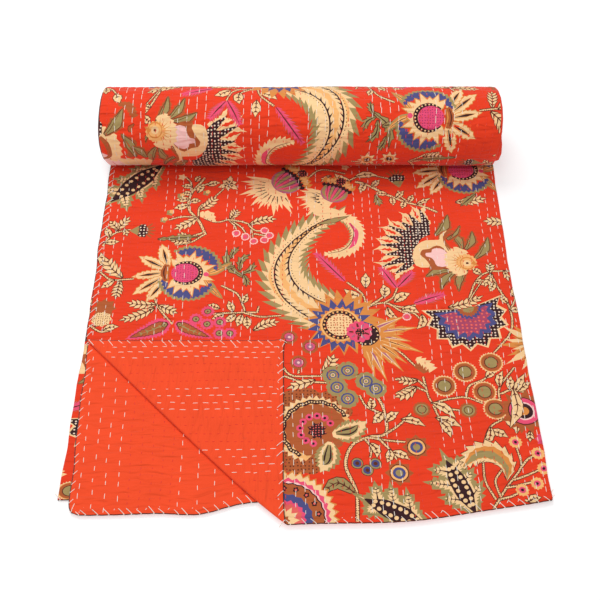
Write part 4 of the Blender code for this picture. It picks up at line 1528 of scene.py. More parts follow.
@dataclass(frozen=True)
class QuiltedCotton:
    """Plain-woven cotton, quilted and washed soft: what both sides of the cloth share. Lengths are in metres.

    Its face is matt with a faint fuzz, and its dye a little uneven. The weave has about 25 threads to the
    centimetre, too fine to show, so it is drawn at 1.2 mm. The quilting draws up short puckers, about 8 mm
    apart, across each row of stitches.
    """

    weave: float = 0.0012
    pucker: float = 0.0085
    # How long a thick thread and a pucker are across the cloth.
    slub: float = 0.030
    weave_depth: float = 0.00012
    pucker_depth: float = 0.0038
    roughness: float = 0.88
    specular: float = 0.25
    fuzz: float = 0.12

    def dress(self, tree: NodeTree, shader: Node, colour: Node | tuple) -> None:
        """Gives the cloth its uneven dye, weave and puckers, on its own map in metres.

        Args:
            tree: the material's tree.
            shader: its Principled shader.
            colour: the dye.
        """
        place = add_node(tree, "ShaderNodeUVMap", uv_map=CLOTH_MAP)
        washed = add_node(
            tree, "ShaderNodeTexNoise", {"Vector": place, "Scale": 22.0, "Detail": 3.0, "Roughness": 0.6}
        )
        thick = add_node(
            tree, "ShaderNodeMapping", {"Vector": place, "Scale": (1 / self.slub, 1 / self.weave, 1.0)}
        )
        slubs = add_node(tree, "ShaderNodeTexNoise", {"Vector": thick, "Scale": 1.0, "Detail": 1.0})
        # Each noise, the range that is read of it, and how dark and light it makes the dye.
        fades = [
            add_node(tree, "ShaderNodeMapRange", dict(enumerate(shades)))
            for shades in ((washed, 0.3, 0.7, 0.955, 1.035), (slubs, 0.25, 0.75, 0.965, 1.03))
        ]
        both = add_node(tree, "ShaderNodeMath", dict(enumerate(fades)), operation="MULTIPLY")
        dyed = add_node(tree, "ShaderNodeVectorMath", {0: colour, "Scale": both}, operation="SCALE")
        tree.links.new(dyed.outputs["Vector"], shader.inputs["Base Color"])
        drawn = add_node(
            tree, "ShaderNodeMapping", {"Vector": place, "Scale": (1 / self.slub, 1 / self.pucker, 1.0)}
        )
        puckers = add_node(
            tree, "ShaderNodeTexNoise", {"Vector": drawn, "Scale": 1.0, "Detail": 1.0, "Distortion": 0.5}
        )
        fine = {"Vector": place, "Scale": 1 / self.weave / math.pi}
        threads = [
            add_node(tree, "ShaderNodeTexWave", fine, bands_direction=way).outputs["Fac"] for way in "XY"
        ]
        woven = add_node(tree, "ShaderNodeMath", dict(enumerate(threads)), operation="MULTIPLY")
        folds = add_node(
            tree, "ShaderNodeBump", {"Height": puckers, "Strength": 1.0, "Distance": self.pucker_depth}
        )
        cloth = add_node(
            tree, "ShaderNodeBump",
            {"Height": woven, "Strength": 0.22, "Distance": self.weave_depth, "Normal": folds},
        )
        tree.links.new(cloth.outputs["Normal"], shader.inputs["Normal"])
        shader.inputs["Roughness"].default_value = self.roughness
        shader.inputs["Specular IOR Level"].default_value = self.specular
        shader.inputs["Sheen Weight"].default_value = self.fuzz
        shader.inputs["Sheen Roughness"].default_value = 0.5


@dataclass(frozen=True)
class PrintedCotton(QuiltedCotton):
    """Cotton cambric, block printed with dyes that sink in."""

    # One colour for each Ink, in its order. Below, the dots' colour and the millimetres between them.
    inks: tuple[str, ...] = (
        "#E73A16", "#F6CB94", "#F4B46E", "#DC8A40", "#A28C58", "#EA4E72", "#FAC6C0", "#4C4C80", "#36161A",
        "#5E2818", "#B0592C", "#B0627C", "#E4625A", "#36161A", "#36161A", "#B0592C", "#F6CB94", "#E84C76",
        "#A84462", "#F6CB94",
    )
    dots: tuple[tuple[Ink, str, float], ...] = (
        (BLACK_CREAM, "#F8DEC4", 4.9), (BLACK_CORAL, "#E4625A", 3.6), (RUST_BROWN, "#6B3018", 4.6),
        (CREAM_RUST, "#A84E22", 4.2), (MAGENTA_PLUM, "#B0305C", 3.6), (PLUM_CORAL, "#EC6A5C", 6.0),
        (CREAM_BROWN, "#6B3018", 2.9),
    )
    # How far the dots stray from even rows, and how far from its middle a dot ends and is full.
    stray: float = 0.35
    dot_end: float = 0.28
    dot_full: float = 0.20

    def ramp(self, tree: NodeTree, ink: NodeSocket, colours: Sequence[tuple]) -> Node:
        """Adds a stepped ramp that gives each ink its own colour.

        Args:
            tree: the material's tree.
            ink: the ink's number as a share of INK_SCALE.
            colours: linear colours in the order of Ink.

        Returns:
            The ramp.
        """
        ramp = add_node(tree, "ShaderNodeValToRGB", {"Fac": ink})
        ramp.color_ramp.interpolation = "CONSTANT"
        stops = ramp.color_ramp.elements
        for number, colour in enumerate(colours):
            stop = stops[number] if number < 2 else stops.new(1.0)
            stop.position = 0.0 if number == 0 else (number - 0.5) / INK_SCALE
            stop.color = colour
        return ramp

    def build(self) -> Material:
        """Makes the material of the printed side.

        Returns:
            The material.
        """
        material, tree, shader = new_material("printed_cotton")
        ink = add_node(tree, "ShaderNodeAttribute", attribute_name="ink").outputs["Fac"]
        plain = [linear(colour) for colour in self.inks]
        dotted, pitch = list(plain), [(0.005, 0.005, 0.005, 1.0)] * len(plain)
        for kind, colour, apart in self.dots:
            dotted[kind.value] = linear(colour)
            pitch[kind.value] = (apart / 1000, apart / 1000, apart / 1000, 1.0)
        flat = add_node(tree, "ShaderNodeUVMap", uv_map=CLOTH_MAP)
        place = add_node(
            tree, "ShaderNodeVectorMath", {0: flat, 1: self.ramp(tree, ink, pitch)}, operation="DIVIDE"
        )
        cells = add_node(
            tree, "ShaderNodeTexVoronoi", {"Vector": place, "Scale": 1.0, "Randomness": self.stray},
            voronoi_dimensions="2D",
        )
        spot = add_node(
            tree, "ShaderNodeMapRange", dict(enumerate((cells, self.dot_end, self.dot_full, 0.0, 1.0)))
        )
        dyes = {"A": self.ramp(tree, ink, plain), "B": self.ramp(tree, ink, dotted)}
        self.dress(tree, shader, add_node(tree, "ShaderNodeMix", {"Factor": spot, **dyes}, data_type="RGBA"))
        return material


@dataclass(frozen=True)
class BackingCotton(QuiltedCotton):
    """Plain orange cotton sheeting, a little paler than the print's ground."""

    colour: str = "#F24C22"

    def build(self) -> Material:
        """Makes the material of the plain side.

        Returns:
            The material.
        """
        material, tree, shader = new_material("orange_backing_cotton")
        self.dress(tree, shader, linear(self.colour)[:3])
        return material


@dataclass(frozen=True)
class SewingThread:
    """Spun cotton thread of two twisted plies, matt with a soft edge. The twist is drawn every 1.5 mm."""

    name: str
    colour: str
    twist: float = 0.0015
    # Painted shade: how dark the thread is drawn in the groove between two plies.
    shade: float = 0.86

    def build(self) -> Material:
        """Makes the thread's material.

        Returns:
            The material.
        """
        material, tree, shader = new_material(self.name)
        place = add_node(tree, "ShaderNodeTexCoord").outputs["Object"]
        waves = {"Vector": place, "Scale": 1 / self.twist / math.pi, "Distortion": 0.6, "Detail": 1.0}
        twist = add_node(tree, "ShaderNodeTexWave", waves, bands_direction="DIAGONAL").outputs["Fac"]
        light = linear(self.colour)
        # The darker colour is painted shade in the groove between the plies; the lighter one is the thread's
        # own colour.
        dyes = {"Factor": twist, "A": (*[self.shade * c for c in light[:3]], 1.0), "B": light}
        ply_shaded_twist = add_node(tree, "ShaderNodeMix", dyes, data_type="RGBA")
        tree.links.new(ply_shaded_twist.outputs["Result"], shader.inputs["Base Color"])
        bump = add_node(tree, "ShaderNodeBump", {"Height": twist, "Strength": 0.4, "Distance": 0.0002})
        tree.links.new(bump.outputs["Normal"], shader.inputs["Normal"])
        shader.inputs["Roughness"].default_value = 0.85
        shader.inputs["Sheen Weight"].default_value = 0.2
        return material


# ---------------- the cloth


def simplify(outline: Outline, tolerance: float) -> Outline:
    """Drops points of an outline that stray less than a tolerance from a straight line.

    Args:
        outline: the closed outline.
        tolerance: the most that it may change by.

    Returns:
        The plainer outline.
    """
    far = max(range(len(outline)), key=lambda n: abs(outline[n] - outline[0]))
    kept = []
    for part in (outline[: far + 1], outline[far:] + outline[:1]):
        stack = [(0, len(part) - 1)]
        keep = {0, len(part) - 1}
        while stack:
            low, high = stack.pop()
            if high - low < 2:
                continue
            start, run = part[low], part[high] - part[low]
            offs = [
                abs(((p - start) * run.conjugate()).imag) / abs(run) if abs(run) > 1e-9 else abs(p - start)
                for p in part[low + 1 : high]
            ]
            worst = max(range(len(offs)), key=offs.__getitem__)
            if offs[worst] > tolerance:
                middle = low + 1 + worst
                keep.add(middle)
                stack += [(low, middle), (middle, high)]
        kept += [part[n] for n in sorted(keep)][:-1]
    return kept


def area(outline: Outline) -> float:
    """The area inside an outline, positive where it goes anticlockwise."""
    return sum((p.conjugate() * q).imag for p, q in sides_of(outline)) / 2


def clip(outline: Outline, low: complex, high: complex) -> Outline:
    """Cuts an outline to a rectangle.

    Args:
        outline: the closed outline.
        low: the rectangle's lowest corner.
        high: its highest corner.

    Returns:
        What is left of the outline.
    """
    for axis in ("real", "imag"):
        for bound, sign in ((low, 1), (high, -1)):
            cut = []
            for p, q in sides_of(outline):
                at_p, at_q = (sign * (getattr(spot, axis) - getattr(bound, axis)) for spot in (p, q))
                if at_p >= 0:
                    cut.append(p)
                if (at_p >= 0) != (at_q >= 0):
                    cut.append(p + (q - p) * at_p / (at_p - at_q))
            outline = cut
            if len(outline) < 3:
                return []
    return outline


@dataclass
class Cutting:
    """Points and lines that one side of the cloth is cut along, in centimetres."""

    spots: list[Place] = field(default_factory=list)
    lines: list[tuple[int, int]] = field(default_factory=list)

    def add_line(self, places: Sequence[Place], closed: bool = False) -> None:
        """Adds a line.

        Args:
            places: the places that it goes through.
            closed: whether it ends where it starts.
        """
        first = len(self.spots)
        self.spots += places
        last = len(self.spots) - 1
        self.lines += [(n, n + 1) for n in range(first, last)]
        if closed:
            self.lines.append((last, first))

    def add_edges(self, places: Array, edges: Array) -> None:
        """Adds loose edges.

        Args:
            places: the places of their ends.
            edges: pairs of row numbers in places.
        """
        used, ends = np.unique(edges, return_inverse=True)
        first = len(self.spots)
        self.spots += [tuple(place) for place in places[used]]
        self.lines += [(first + a, first + b) for a, b in ends.reshape(-1, 2).tolist()]

    def add_grid(
        self, columns: Sequence[float], rows: Sequence[float], keep: Callable = lambda u, v: True
    ) -> None:
        """Adds the crossings of columns and rows, where `keep` is true."""
        self.spots += [(u, v) for u in columns for v in rows if keep(u, v)]

    def triangles(self) -> tuple[Array, Array]:
        """Cuts the cloth into triangles.

        Returns:
            The corners' places, and three corner numbers for each triangle, anticlockwise.
        """
        spots = np.array(self.spots)
        for axis in (0, 1):
            for side in (0.0, spots[:, axis].max()):
                spots[np.abs(spots[:, axis] - side) < 0.004, axis] = side
        found = delaunay_2d_cdt([Vector(spot) for spot in spots], self.lines, [], 0, 1e-3)
        return np.array([tuple(spot) for spot in found[0]]), np.array(list(found[2]), dtype=np.int64)


def winding(spots: Array, outline: Outline) -> Array:
    """Finds the spots that an outline goes round, also where it crosses itself.

    Args:
        spots: one row of two numbers for each spot.
        outline: the closed outline.

    Returns:
        True for each spot inside.
    """
    turns = np.zeros(len(spots))
    x, y = spots[:, 0], spots[:, 1]
    for p, q in sides_of(outline):
        if p.imag == q.imag:
            continue
        side = (q.real - p.real) * (y - p.imag) - (x - p.real) * (q.imag - p.imag)
        turns += (p.imag <= y) & (q.imag > y) & (side > 0)
        turns -= (p.imag > y) & (q.imag <= y) & (side < 0)
    return turns != 0


def inks_at(places: Array, triangles: Array, shapes: list[tuple[Ink, Outline]]) -> Array:
    """Finds the ink of each triangle, which is the one laid last over its middle.

    Args:
        places: the corners' places.
        triangles: the triangles' corner numbers.
        shapes: the inked shapes, in the order in which they are laid.

    Returns:
        The inks' numbers.
    """
    middles = places[triangles].mean(axis=1)
    inks = np.zeros(len(triangles))
    order = np.argsort(middles[:, 1])
    heights = middles[order, 1]
    for ink, outline in shapes:
        xs, ys = [p.real for p in outline], [p.imag for p in outline]
        low, high = np.searchsorted(heights, (min(ys), max(ys)))
        near = order[low:high]
        x = middles[near, 0]
        near = near[(x > min(xs)) & (x < max(xs))]
        inks[near[winding(middles[near], outline)]] = ink.value
    return inks


def ink_borders(triangles: Array, inks: Array) -> Array:
    """Finds the edges between triangles of different inks.

    Args:
        triangles: the triangles' corner numbers.
        inks: each triangle's ink.

    Returns:
        The edges, as pairs of corner numbers.
    """
    edges = np.concatenate([triangles[:, [0, 1]], triangles[:, [1, 2]], triangles[:, [2, 0]]])
    edges.sort(axis=1)
    order = np.lexsort(edges.T)
    edges, sides = edges[order], np.tile(inks, 3)[order]
    return edges[1:][(edges[1:] == edges[:-1]).all(axis=1) & (sides[1:] != sides[:-1])]


def straighten(places: Array, edges: Array, tolerance: float, passes: int = 3) -> Array:
    """Joins pairs of edges that meet in an all but straight line.

    Args:
        places: the corners' places.
        edges: pairs of corner numbers.
        tolerance: how far a corner may lie off the joined edge.
        passes: how many times over it is done.

    Returns:
        The edges that are left.
    """
    longest = 4
    spots = (places[:, 0] + 1j * places[:, 1]).tolist()
    beside: dict[int, set[int]] = {}
    for a, b in edges.tolist():
        beside.setdefault(a, set()).add(b)
        beside.setdefault(b, set()).add(a)
    for _ in range(passes):
        held: set[int] = set()
        for corner in list(beside):
            if corner in held or len(beside[corner]) != 2:
                continue
            a, b = beside[corner]
            run = spots[b] - spots[a]
            off = abs(((spots[corner] - spots[a]) * run.conjugate()).imag) / (abs(run) + 1e-9)
            if off < tolerance and abs(run) < longest and b not in beside[a]:
                beside[a] = beside[a] - {corner} | {b}
                beside[b] = beside[b] - {corner} | {a}
                del beside[corner]
                held |= {a, b}
    return np.array([(a, b) for a, others in beside.items() for b in others if a < b])


@dataclass
class KanthaQuilt:
    """The quilt's cloth: printed cotton and orange cotton quilted together, with a hem round its edge."""

    strip: FoldedStrip
    quilting: Quilting
    # Where the print's next repeat starts on the bottom layer, across and along, and how long a repeat is.
    repeat: complex = 55.55+43.3j
    repeat_along: float = 58.0
    # How far the hem's edge stands out, in metres.
    rim: float = 0.0012

    def prints(self) -> list[tuple[Ink, Outline]]:
        """Draws the print on the whole printed side.

        Returns:
            The inked shapes, in the order in which they are laid.
        """
        wide, flat = 100 * self.strip.layer, 100 * self.strip.flat_run
        # What the roll shows ends here along the bottom layer.
        seen = 98.5
        shapes = []
        # Each copy's detail, shift (none on the top layer), lowest and highest corner, and tolerance.
        for detail, shift, low, high, tolerance in (
            (2, None, 0j, complex(wide + 0.4, flat), 0.022),
            (2, self.repeat, complex(wide + 0.5, flat - 1), complex(2 * wide, seen), 0.03),
            (0, self.repeat, complex(wide + 0.5, 44.5), complex(2 * wide, flat - 1.05), 0.12),
            (0, self.repeat - self.repeat_along * 1j, complex(wide + 0.5, 0), complex(2 * wide, 44.4), 0.12),
            (1, 2 * wide - 44.9-17.4j, complex(2 * wide + 0.02, 0), complex(2 * wide + 3.2, 40), 0.05),
        ):
            pen = Pen(detail, whole=shift is not None)
            draw_field(pen)
            for ink, outline in pen.shapes:
                outline = [self.strip.cloth_place(p) if shift is None else p + shift for p in outline]
                outline = clip(simplify(outline, tolerance), low, high)
                if len(outline) > 2 and (detail or abs(area(outline)) >= 0.25):
                    shapes.append((ink, outline))
        return shapes

    def fold_lines(self, cutting: Cutting) -> None:
        """Adds the lines along which the cloth bends: the three long folds and the corner's fold.

        Args:
            cutting: what they are added to.
        """
        strip = self.strip
        rows = [100 * strip.length * n / 160 for n in range(161)]
        for fold, half, parts in (
            (1, strip.outer_half, 8), (2, strip.inner_half, 5), (3, strip.inner_half, 5)
        ):
            for n in range(parts + 1):
                u = 100 * (fold * strip.layer + half * (2 * n / parts - 1))
                cutting.add_line([(u, v) for v in rows])
        bend = math.pi * strip.bend_radius
        past = (0.004, 0.009, 0.016, 0.027, 0.045)
        for beyond in (*(bend * n / 7 for n in range(8)), *(bend + more for more in past)):
            line = []
            for share in np.linspace(-1, 1, 41):
                bow = float(strip.bow(share * strip.turned_back))
                reach = 100 * strip.turned_back - 100 * math.sqrt(2) * (beyond + bow)
                line.append((reach * (1 + share) / 2, reach * (1 - share) / 2))
            cutting.add_line(line)

    def crease_grid(self, cutting: Cutting) -> None:
        """Adds points that follow the soft creases of the top layer.

        Args:
            cutting: what they are added to.
        """
        for a0, b0, a1, b1, half, _ in self.strip.creases:
            start, run = 100 * complex(a0, b0), 100 * complex(a1 - a0, b1 - b0)
            for t in np.linspace(-0.05, 1.05, int(abs(run) / 0.8)):
                for off in np.linspace(-2.0, 3.2, 14) * 100 * half:
                    spot = start + run * t + unit(run) * 1j * off
                    if spot.real + spot.imag > 27 and 0.3 < spot.real < 56.5 and spot.imag > 0.3:
                        cutting.spots.append((spot.real, spot.imag))

    def roll_rows(self) -> list[float]:
        """Places rows of points on the rolled-up part, closer where it is wound tighter.

        Returns:
            The lengths along of the rows.
        """
        strip, rows, past = self.strip, [], 0.0
        while strip.flat_run + past < strip.length:
            rows.append(100 * (strip.flat_run + past))
            angle = float(strip.roll_angle(np.array([past]))[0])
            past += 0.25 * (strip.roll_radius - strip.turn_pitch * angle / (2 * math.pi))
        return rows

    def layer_columns(self, level: int, count: int) -> Array:
        """Evenly spaced lengths across a layer."""
        wide = 100 * self.strip.layer
        return np.linspace(level * wide + 1, (level + 1) * wide - 1, count)

    def printed_side(self, shapes: list[tuple[Ink, Outline]]) -> tuple[Array, Array, Array]:
        """Cuts the printed side along its shapes.

        Args:
            shapes: the inked shapes.

        Returns:
            The corners' places, the triangles, and each triangle's ink.
        """
        strip, wide, flat = self.strip, 100 * self.strip.layer, 100 * self.strip.flat_run
        sheet = [(0, 0), (4 * wide, 0), (4 * wide, 100 * strip.length), (0, 100 * strip.length)]
        first = Cutting()
        first.add_line(sheet, closed=True)
        for _, outline in shapes:
            first.add_line([(p.real, p.imag) for p in outline], closed=True)
        places, triangles = first.triangles()
        borders = ink_borders(triangles, inks_at(places, triangles, shapes))
        cutting = Cutting()
        cutting.add_line(sheet, closed=True)
        cutting.add_edges(places, straighten(places, borders, 0.012))
        self.fold_lines(cutting)
        self.crease_grid(cutting)
        corner = 100 * strip.turned_back + 1
        rolled = self.roll_rows()
        # The bottom layer's rows are this close to here, where the roll no longer shows it.
        seen = 98.0
        top = [100 * u for u in self.quilting.columns(0, strip.layer - 0.006, 3)]
        cutting.add_grid(top, np.arange(0, flat, 1.1), lambda u, v: u + v > corner)
        coarse = np.arange(1.5, 26, 3)
        cutting.add_grid(coarse, coarse, lambda u, v: u + v < corner - 1.6)
        for level in (1, 2, 3):
            cutting.add_grid(self.layer_columns(level, 12), np.arange(0, flat, 5))
        for level in (0, 2, 3):
            columns = self.layer_columns(level, 5)
            cutting.add_grid([level * wide, *columns] if level else columns, rolled)
        bottom = [100 * u for u in self.quilting.columns(strip.layer + 0.006, 2 * strip.layer - 0.004, 3)]
        cutting.add_grid(bottom, np.arange(flat, seen, 1))
        cutting.add_grid(self.layer_columns(1, 5), [v for v in rolled if v > seen])
        for u in (0.0, 4 * wide):
            cutting.spots += [(u, v) for v in (*np.arange(0, flat, 0.5), *rolled)]
        cutting.spots += [(u, 0.0) for u in np.arange(0, 4 * wide, 0.45)]
        places, triangles = cutting.triangles()
        return places, triangles, inks_at(places, triangles, shapes)

    def plain_side(self, border: Array) -> tuple[Array, Array]:
        """Cuts the plain side, with the same corners round its edge as the printed side.

        Args:
            border: the places round the edge.

        Returns:
            The corners' places and the triangles.
        """
        strip, wide, flat = self.strip, 100 * self.strip.layer, 100 * self.strip.flat_run
        cutting = Cutting()
        cutting.add_line([tuple(place) for place in border], closed=True)
        self.fold_lines(cutting)
        self.crease_grid(cutting)
        corner = 100 * strip.turned_back - 1.5
        fine = np.arange(0.9, 26, 1.1)
        flap, second = (
            [100 * u for u in spread([0.002, *[row for row, _ in rows], strip.turned_back], 3)]
            for rows in (self.quilting.corner_rows(), self.quilting.second_rows())
        )
        cutting.add_grid(flap, fine, lambda u, v: u + v < corner)
        cutting.add_grid([4 * wide - u for u in second], fine, lambda u, v: 4 * wide - u + v < corner + 3)
        for level in range(4):
            cutting.add_grid(
                self.layer_columns(level, 12), np.arange(2, flat, 4),
                lambda u, v: u + v > corner and 4 * wide - u + v > corner + 3,
            )
            columns = self.layer_columns(level, 5)
            cutting.add_grid([level * wide, *columns] if level else columns, self.roll_rows())
        return cutting.triangles()

    def around(self, places: Array) -> Array:
        """Finds the corners round the cloth's edge.

        Args:
            places: all the corners' places.

        Returns:
            Their numbers, anticlockwise from the front left one.
        """
        wide, long = 400 * self.strip.layer, 100 * self.strip.length
        u, v = places[:, 0], places[:, 1]
        near = 2e-3
        turn = np.full(len(places), np.nan)
        turn = np.where(u < near, 2 * wide + 2 * long - v, turn)
        turn = np.where(v > long - near, wide + long + (wide - u), turn)
        turn = np.where(u > wide - near, wide + v, turn)
        turn = np.where(v < near, u, turn)
        found = np.flatnonzero(~np.isnan(turn))
        return found[np.argsort(turn[found])]

    def hem(self, edge: Array) -> Array:
        """Places the middle line of the hem, a little outside the cloth's edge.

        Args:
            edge: places round the edge, in metres.

        Returns:
            One row of x, y and z for each place.
        """
        middle, normal, north = self.strip.surface(*edge.T, 0.0, self.quilting.puff)
        past = (edge > np.array((self.strip.width, self.strip.length)) - 2e-5) * 1.0 - (edge < 2e-5)
        out = np.cross(north, normal) * past[:, :1] + north * past[:, 1:]
        return middle + out / np.maximum(np.linalg.norm(out, axis=1, keepdims=True), 1e-9) * self.rim

    def build(self) -> Object:
        """Builds the cloth.

        Returns:
            The piece, with its ink, its map in metres and both materials.
        """
        shapes = self.prints()
        top, top_faces, inks = self.printed_side(shapes)
        rim = self.around(top)
        under, under_faces = self.plain_side(top[rim])
        under_rim = self.around(under)
        count = len(rim)
        if count != len(under_rim):
            raise RuntimeError(f"the cloth's sides have {count} and {len(under_rim)} edge corners")
        half = self.strip.thickness / 2
        points = [
            self.strip.surface(*(places / 100).T, offset, self.quilting.puff)[0]
            for places, offset in ((top, half), (under, -half))
        ]
        points.append(self.hem(top[rim] / 100))
        hem = len(top) + len(under) + np.arange(count)
        below = len(top) + under_rim
        upper = np.stack([rim, hem, np.roll(hem, -1), np.roll(rim, -1)], axis=1)
        lower = np.stack([hem, below, np.roll(below, -1), np.roll(hem, -1)], axis=1)
        back_faces = under_faces[:, ::-1] + len(top)
        faces = [*top_faces.tolist(), *upper.tolist(), *back_faces.tolist(), *lower.tolist()]
        mesh = bpy.data.meshes.new("kantha_quilt")
        mesh.from_pydata(np.concatenate(points).tolist(), [], faces)
        printed = len(top_faces) + count
        numbers = np.zeros(len(faces), dtype=np.float32)
        numbers[: len(inks)] = inks / INK_SCALE
        # The hem turns in there. Its faces take the dark brown ink as painted shade, standing in for the
        # shadow along the cloth's edge.
        numbers[len(inks) : printed] = numbers[-count:] = BROWN.value / INK_SCALE
        plain = np.arange(len(faces)) >= printed
        plain[-count:] = False
        mesh.attributes.new("ink", "FLOAT", "FACE").data.foreach_set("value", numbers)
        mesh.polygons.foreach_set("material_index", plain.astype(np.int32))
        mesh.polygons.foreach_set("use_smooth", np.ones(len(faces), dtype=bool))
        self.add_maps(mesh, np.concatenate([top, under, top[rim]]) / 100, printed)
        mesh.materials.append(PrintedCotton().build())
        mesh.materials.append(BackingCotton().build())
        mesh.update()
        log.info("cloth: %d inked shapes, %d triangles", len(shapes), len(faces) + 2 * count)
        return make_object("kantha_quilt", mesh)

    def add_maps(self, mesh: Mesh, places: Array, printed: int) -> None:
        """Adds the cloth's map in metres, and one that lays both sides out in a square.

        Args:
            mesh: the cloth.
            places: each corner's place on the cloth, in metres.
            printed: how many faces the printed side has. The others are the plain side's.
        """
        corners = np.zeros(len(mesh.loops), dtype=np.int32)
        mesh.loops.foreach_get("vertex_index", corners)
        at = places[corners]
        sides = np.zeros(len(mesh.polygons), dtype=np.int32)
        mesh.polygons.foreach_get("loop_total", sides)
        plain = np.repeat(np.arange(len(sides)) >= printed, sides)[:, None]
        share = at / (self.strip.width, self.strip.length)
        laid = np.where(plain, share * (0.98, 0.32) + (0.01, 0.67), share * (0.98, 0.64) + (0.01, 0.01))
        for name, spots in ((CLOTH_MAP, at), (BAKE_MAP, laid)):
            mesh.uv_layers.new(name=name).uv.foreach_set("vector", spots.astype(np.float32).ravel())


# ---------------- stitches

Dice = np.random.Generator
Strand = tuple[tuple[float, float, float], ...]
ENDS = ("Start", "Middle", "End")


@dataclass
class StitchTree:
    """A Geometry Nodes tree that puts one stitch of round thread on each point of a cloud.

    A point carries `lie`, the direction of its thread, `up`, away from the cloth, and `size`, the share of
    the usual length that its stitch has.
    """

    name: str
    # The start, middle and end of each strand of the stitch, on a curve that the middle pulls.
    strands: Sequence[Strand]
    thread: float
    steps: int = 5
    sides: int = 6

    def build(self) -> NodeTree:
        """Builds the tree.

        Returns:
            The tree, with its sizes as named inputs.
        """
        tree = bpy.data.node_groups.new(self.name, "GeometryNodeTree")
        sizes = [("Thread Width", "Float", self.thread)]
        for number, strand in enumerate(self.strands, 1):
            sizes += [(f"Strand {number} {end}", "Vector", at) for end, at in zip(ENDS, strand, strict=True)]
        sockets = tree.interface
        sockets.new_socket("Points", in_out="INPUT", socket_type="NodeSocketGeometry")
        for name, kind, value in sizes:
            sockets.new_socket(name, in_out="INPUT", socket_type=f"NodeSocket{kind}").default_value = value
        sockets.new_socket("Thread", in_out="INPUT", socket_type="NodeSocketMaterial")
        sockets.new_socket("Stitches", in_out="OUTPUT", socket_type="NodeSocketGeometry")
        given = add_node(tree, "NodeGroupInput").outputs
        read = [
            add_node(tree, "GeometryNodeInputNamedAttribute", {"Name": name}, data_type=kind)
            for name, kind in (("up", "FLOAT_VECTOR"), ("lie", "FLOAT_VECTOR"), ("size", "FLOAT"))
        ]
        turn = add_node(
            tree, "FunctionNodeAxesToRotation", {"Primary Axis": read[0], "Secondary Axis": read[1]},
            primary_axis="Z", secondary_axis="X",
        )
        scale = add_node(tree, "ShaderNodeCombineXYZ", {"X": read[2], "Y": 1.0, "Z": 1.0})
        laid = {"Points": given["Points"], "Rotation": turn, "Scale": scale}
        laid["Instance"] = self.stitch(tree, given)
        placed = add_node(tree, "GeometryNodeInstanceOnPoints", laid)
        real = add_node(tree, "GeometryNodeRealizeInstances", {"Geometry": placed})
        dressed = add_node(tree, "GeometryNodeSetMaterial", {"Geometry": real, "Material": given["Thread"]})
        add_node(tree, "NodeGroupOutput", {"Stitches": dressed})
        return tree

    def stitch(self, tree: NodeTree, given: bpy.types.bpy_prop_collection) -> Node:
        """Builds one stitch.

        Args:
            tree: the tree.
            given: the group's inputs.

        Returns:
            The node that gives the stitch's mesh.
        """
        radius = add_node(tree, "ShaderNodeMath", {0: given["Thread Width"], 1: 0.5}, operation="MULTIPLY")
        ring = add_node(
            tree, "GeometryNodeCurvePrimitiveCircle", {"Resolution": self.sides, "Radius": radius},
        )
        join = add_node(tree, "GeometryNodeJoinGeometry")
        for number in range(1, len(self.strands) + 1):
            ends = {end: given[f"Strand {number} {end}"] for end in ENDS}
            arch = add_node(tree, "GeometryNodeCurveQuadraticBezier", {"Resolution": self.steps, **ends})
            tube = {"Curve": arch, "Profile Curve": ring, "Fill Caps": True}
            tree.links.new(add_node(tree, "GeometryNodeCurveToMesh", tube).outputs["Mesh"], join.inputs[0])
        return add_node(tree, "GeometryNodeSetShadeSmooth", {"Geometry": join})

    def sew(self, name: str, points: Array, up: Array, lie: Array, size: Array, thread: Material) -> Object:
        """Puts a stitch at each point and turns the result into a plain mesh.

        Args:
            name: the piece's name.
            points: where the stitches go.
            up: the directions away from the cloth.
            lie: the directions of the thread.
            size: each stitch's length as a share of the usual one.
            thread: the thread's material.

        Returns:
            The piece.
        """
        cloud = bpy.data.meshes.new(f"{name}_points")
        cloud.from_pydata(points.tolist(), [], [])
        for label, kind, channel, values in (
            ("up", "FLOAT_VECTOR", "vector", up),
            ("lie", "FLOAT_VECTOR", "vector", lie),
            ("size", "FLOAT", "value", size),
        ):
            values = np.ascontiguousarray(values, dtype=np.float32).ravel()
            cloud.attributes.new(label, kind, "POINT").data.foreach_set(channel, values)
        seed = make_object(f"{name}_seed", cloud)
        nodes = seed.modifiers.new(self.name, "NODES")
        nodes.node_group = self.build()
        for item in nodes.node_group.interface.items_tree:
            if item.in_out == "INPUT" and item.name == "Thread":
                nodes[item.identifier] = thread
        ready = seed.evaluated_get(bpy.context.evaluated_depsgraph_get())
        mesh = bpy.data.meshes.new_from_object(ready)
        mesh.name = name
        seed.modifiers.remove(nodes)
        bpy.data.objects.remove(seed)
        for attribute in [a.name for a in mesh.attributes if a.name in ("up", "lie", "size")]:
            mesh.attributes.remove(mesh.attributes[attribute])
        log.info("%s: %d stitches, %d faces", name, len(points), len(mesh.polygons))
        return make_object(name, mesh)


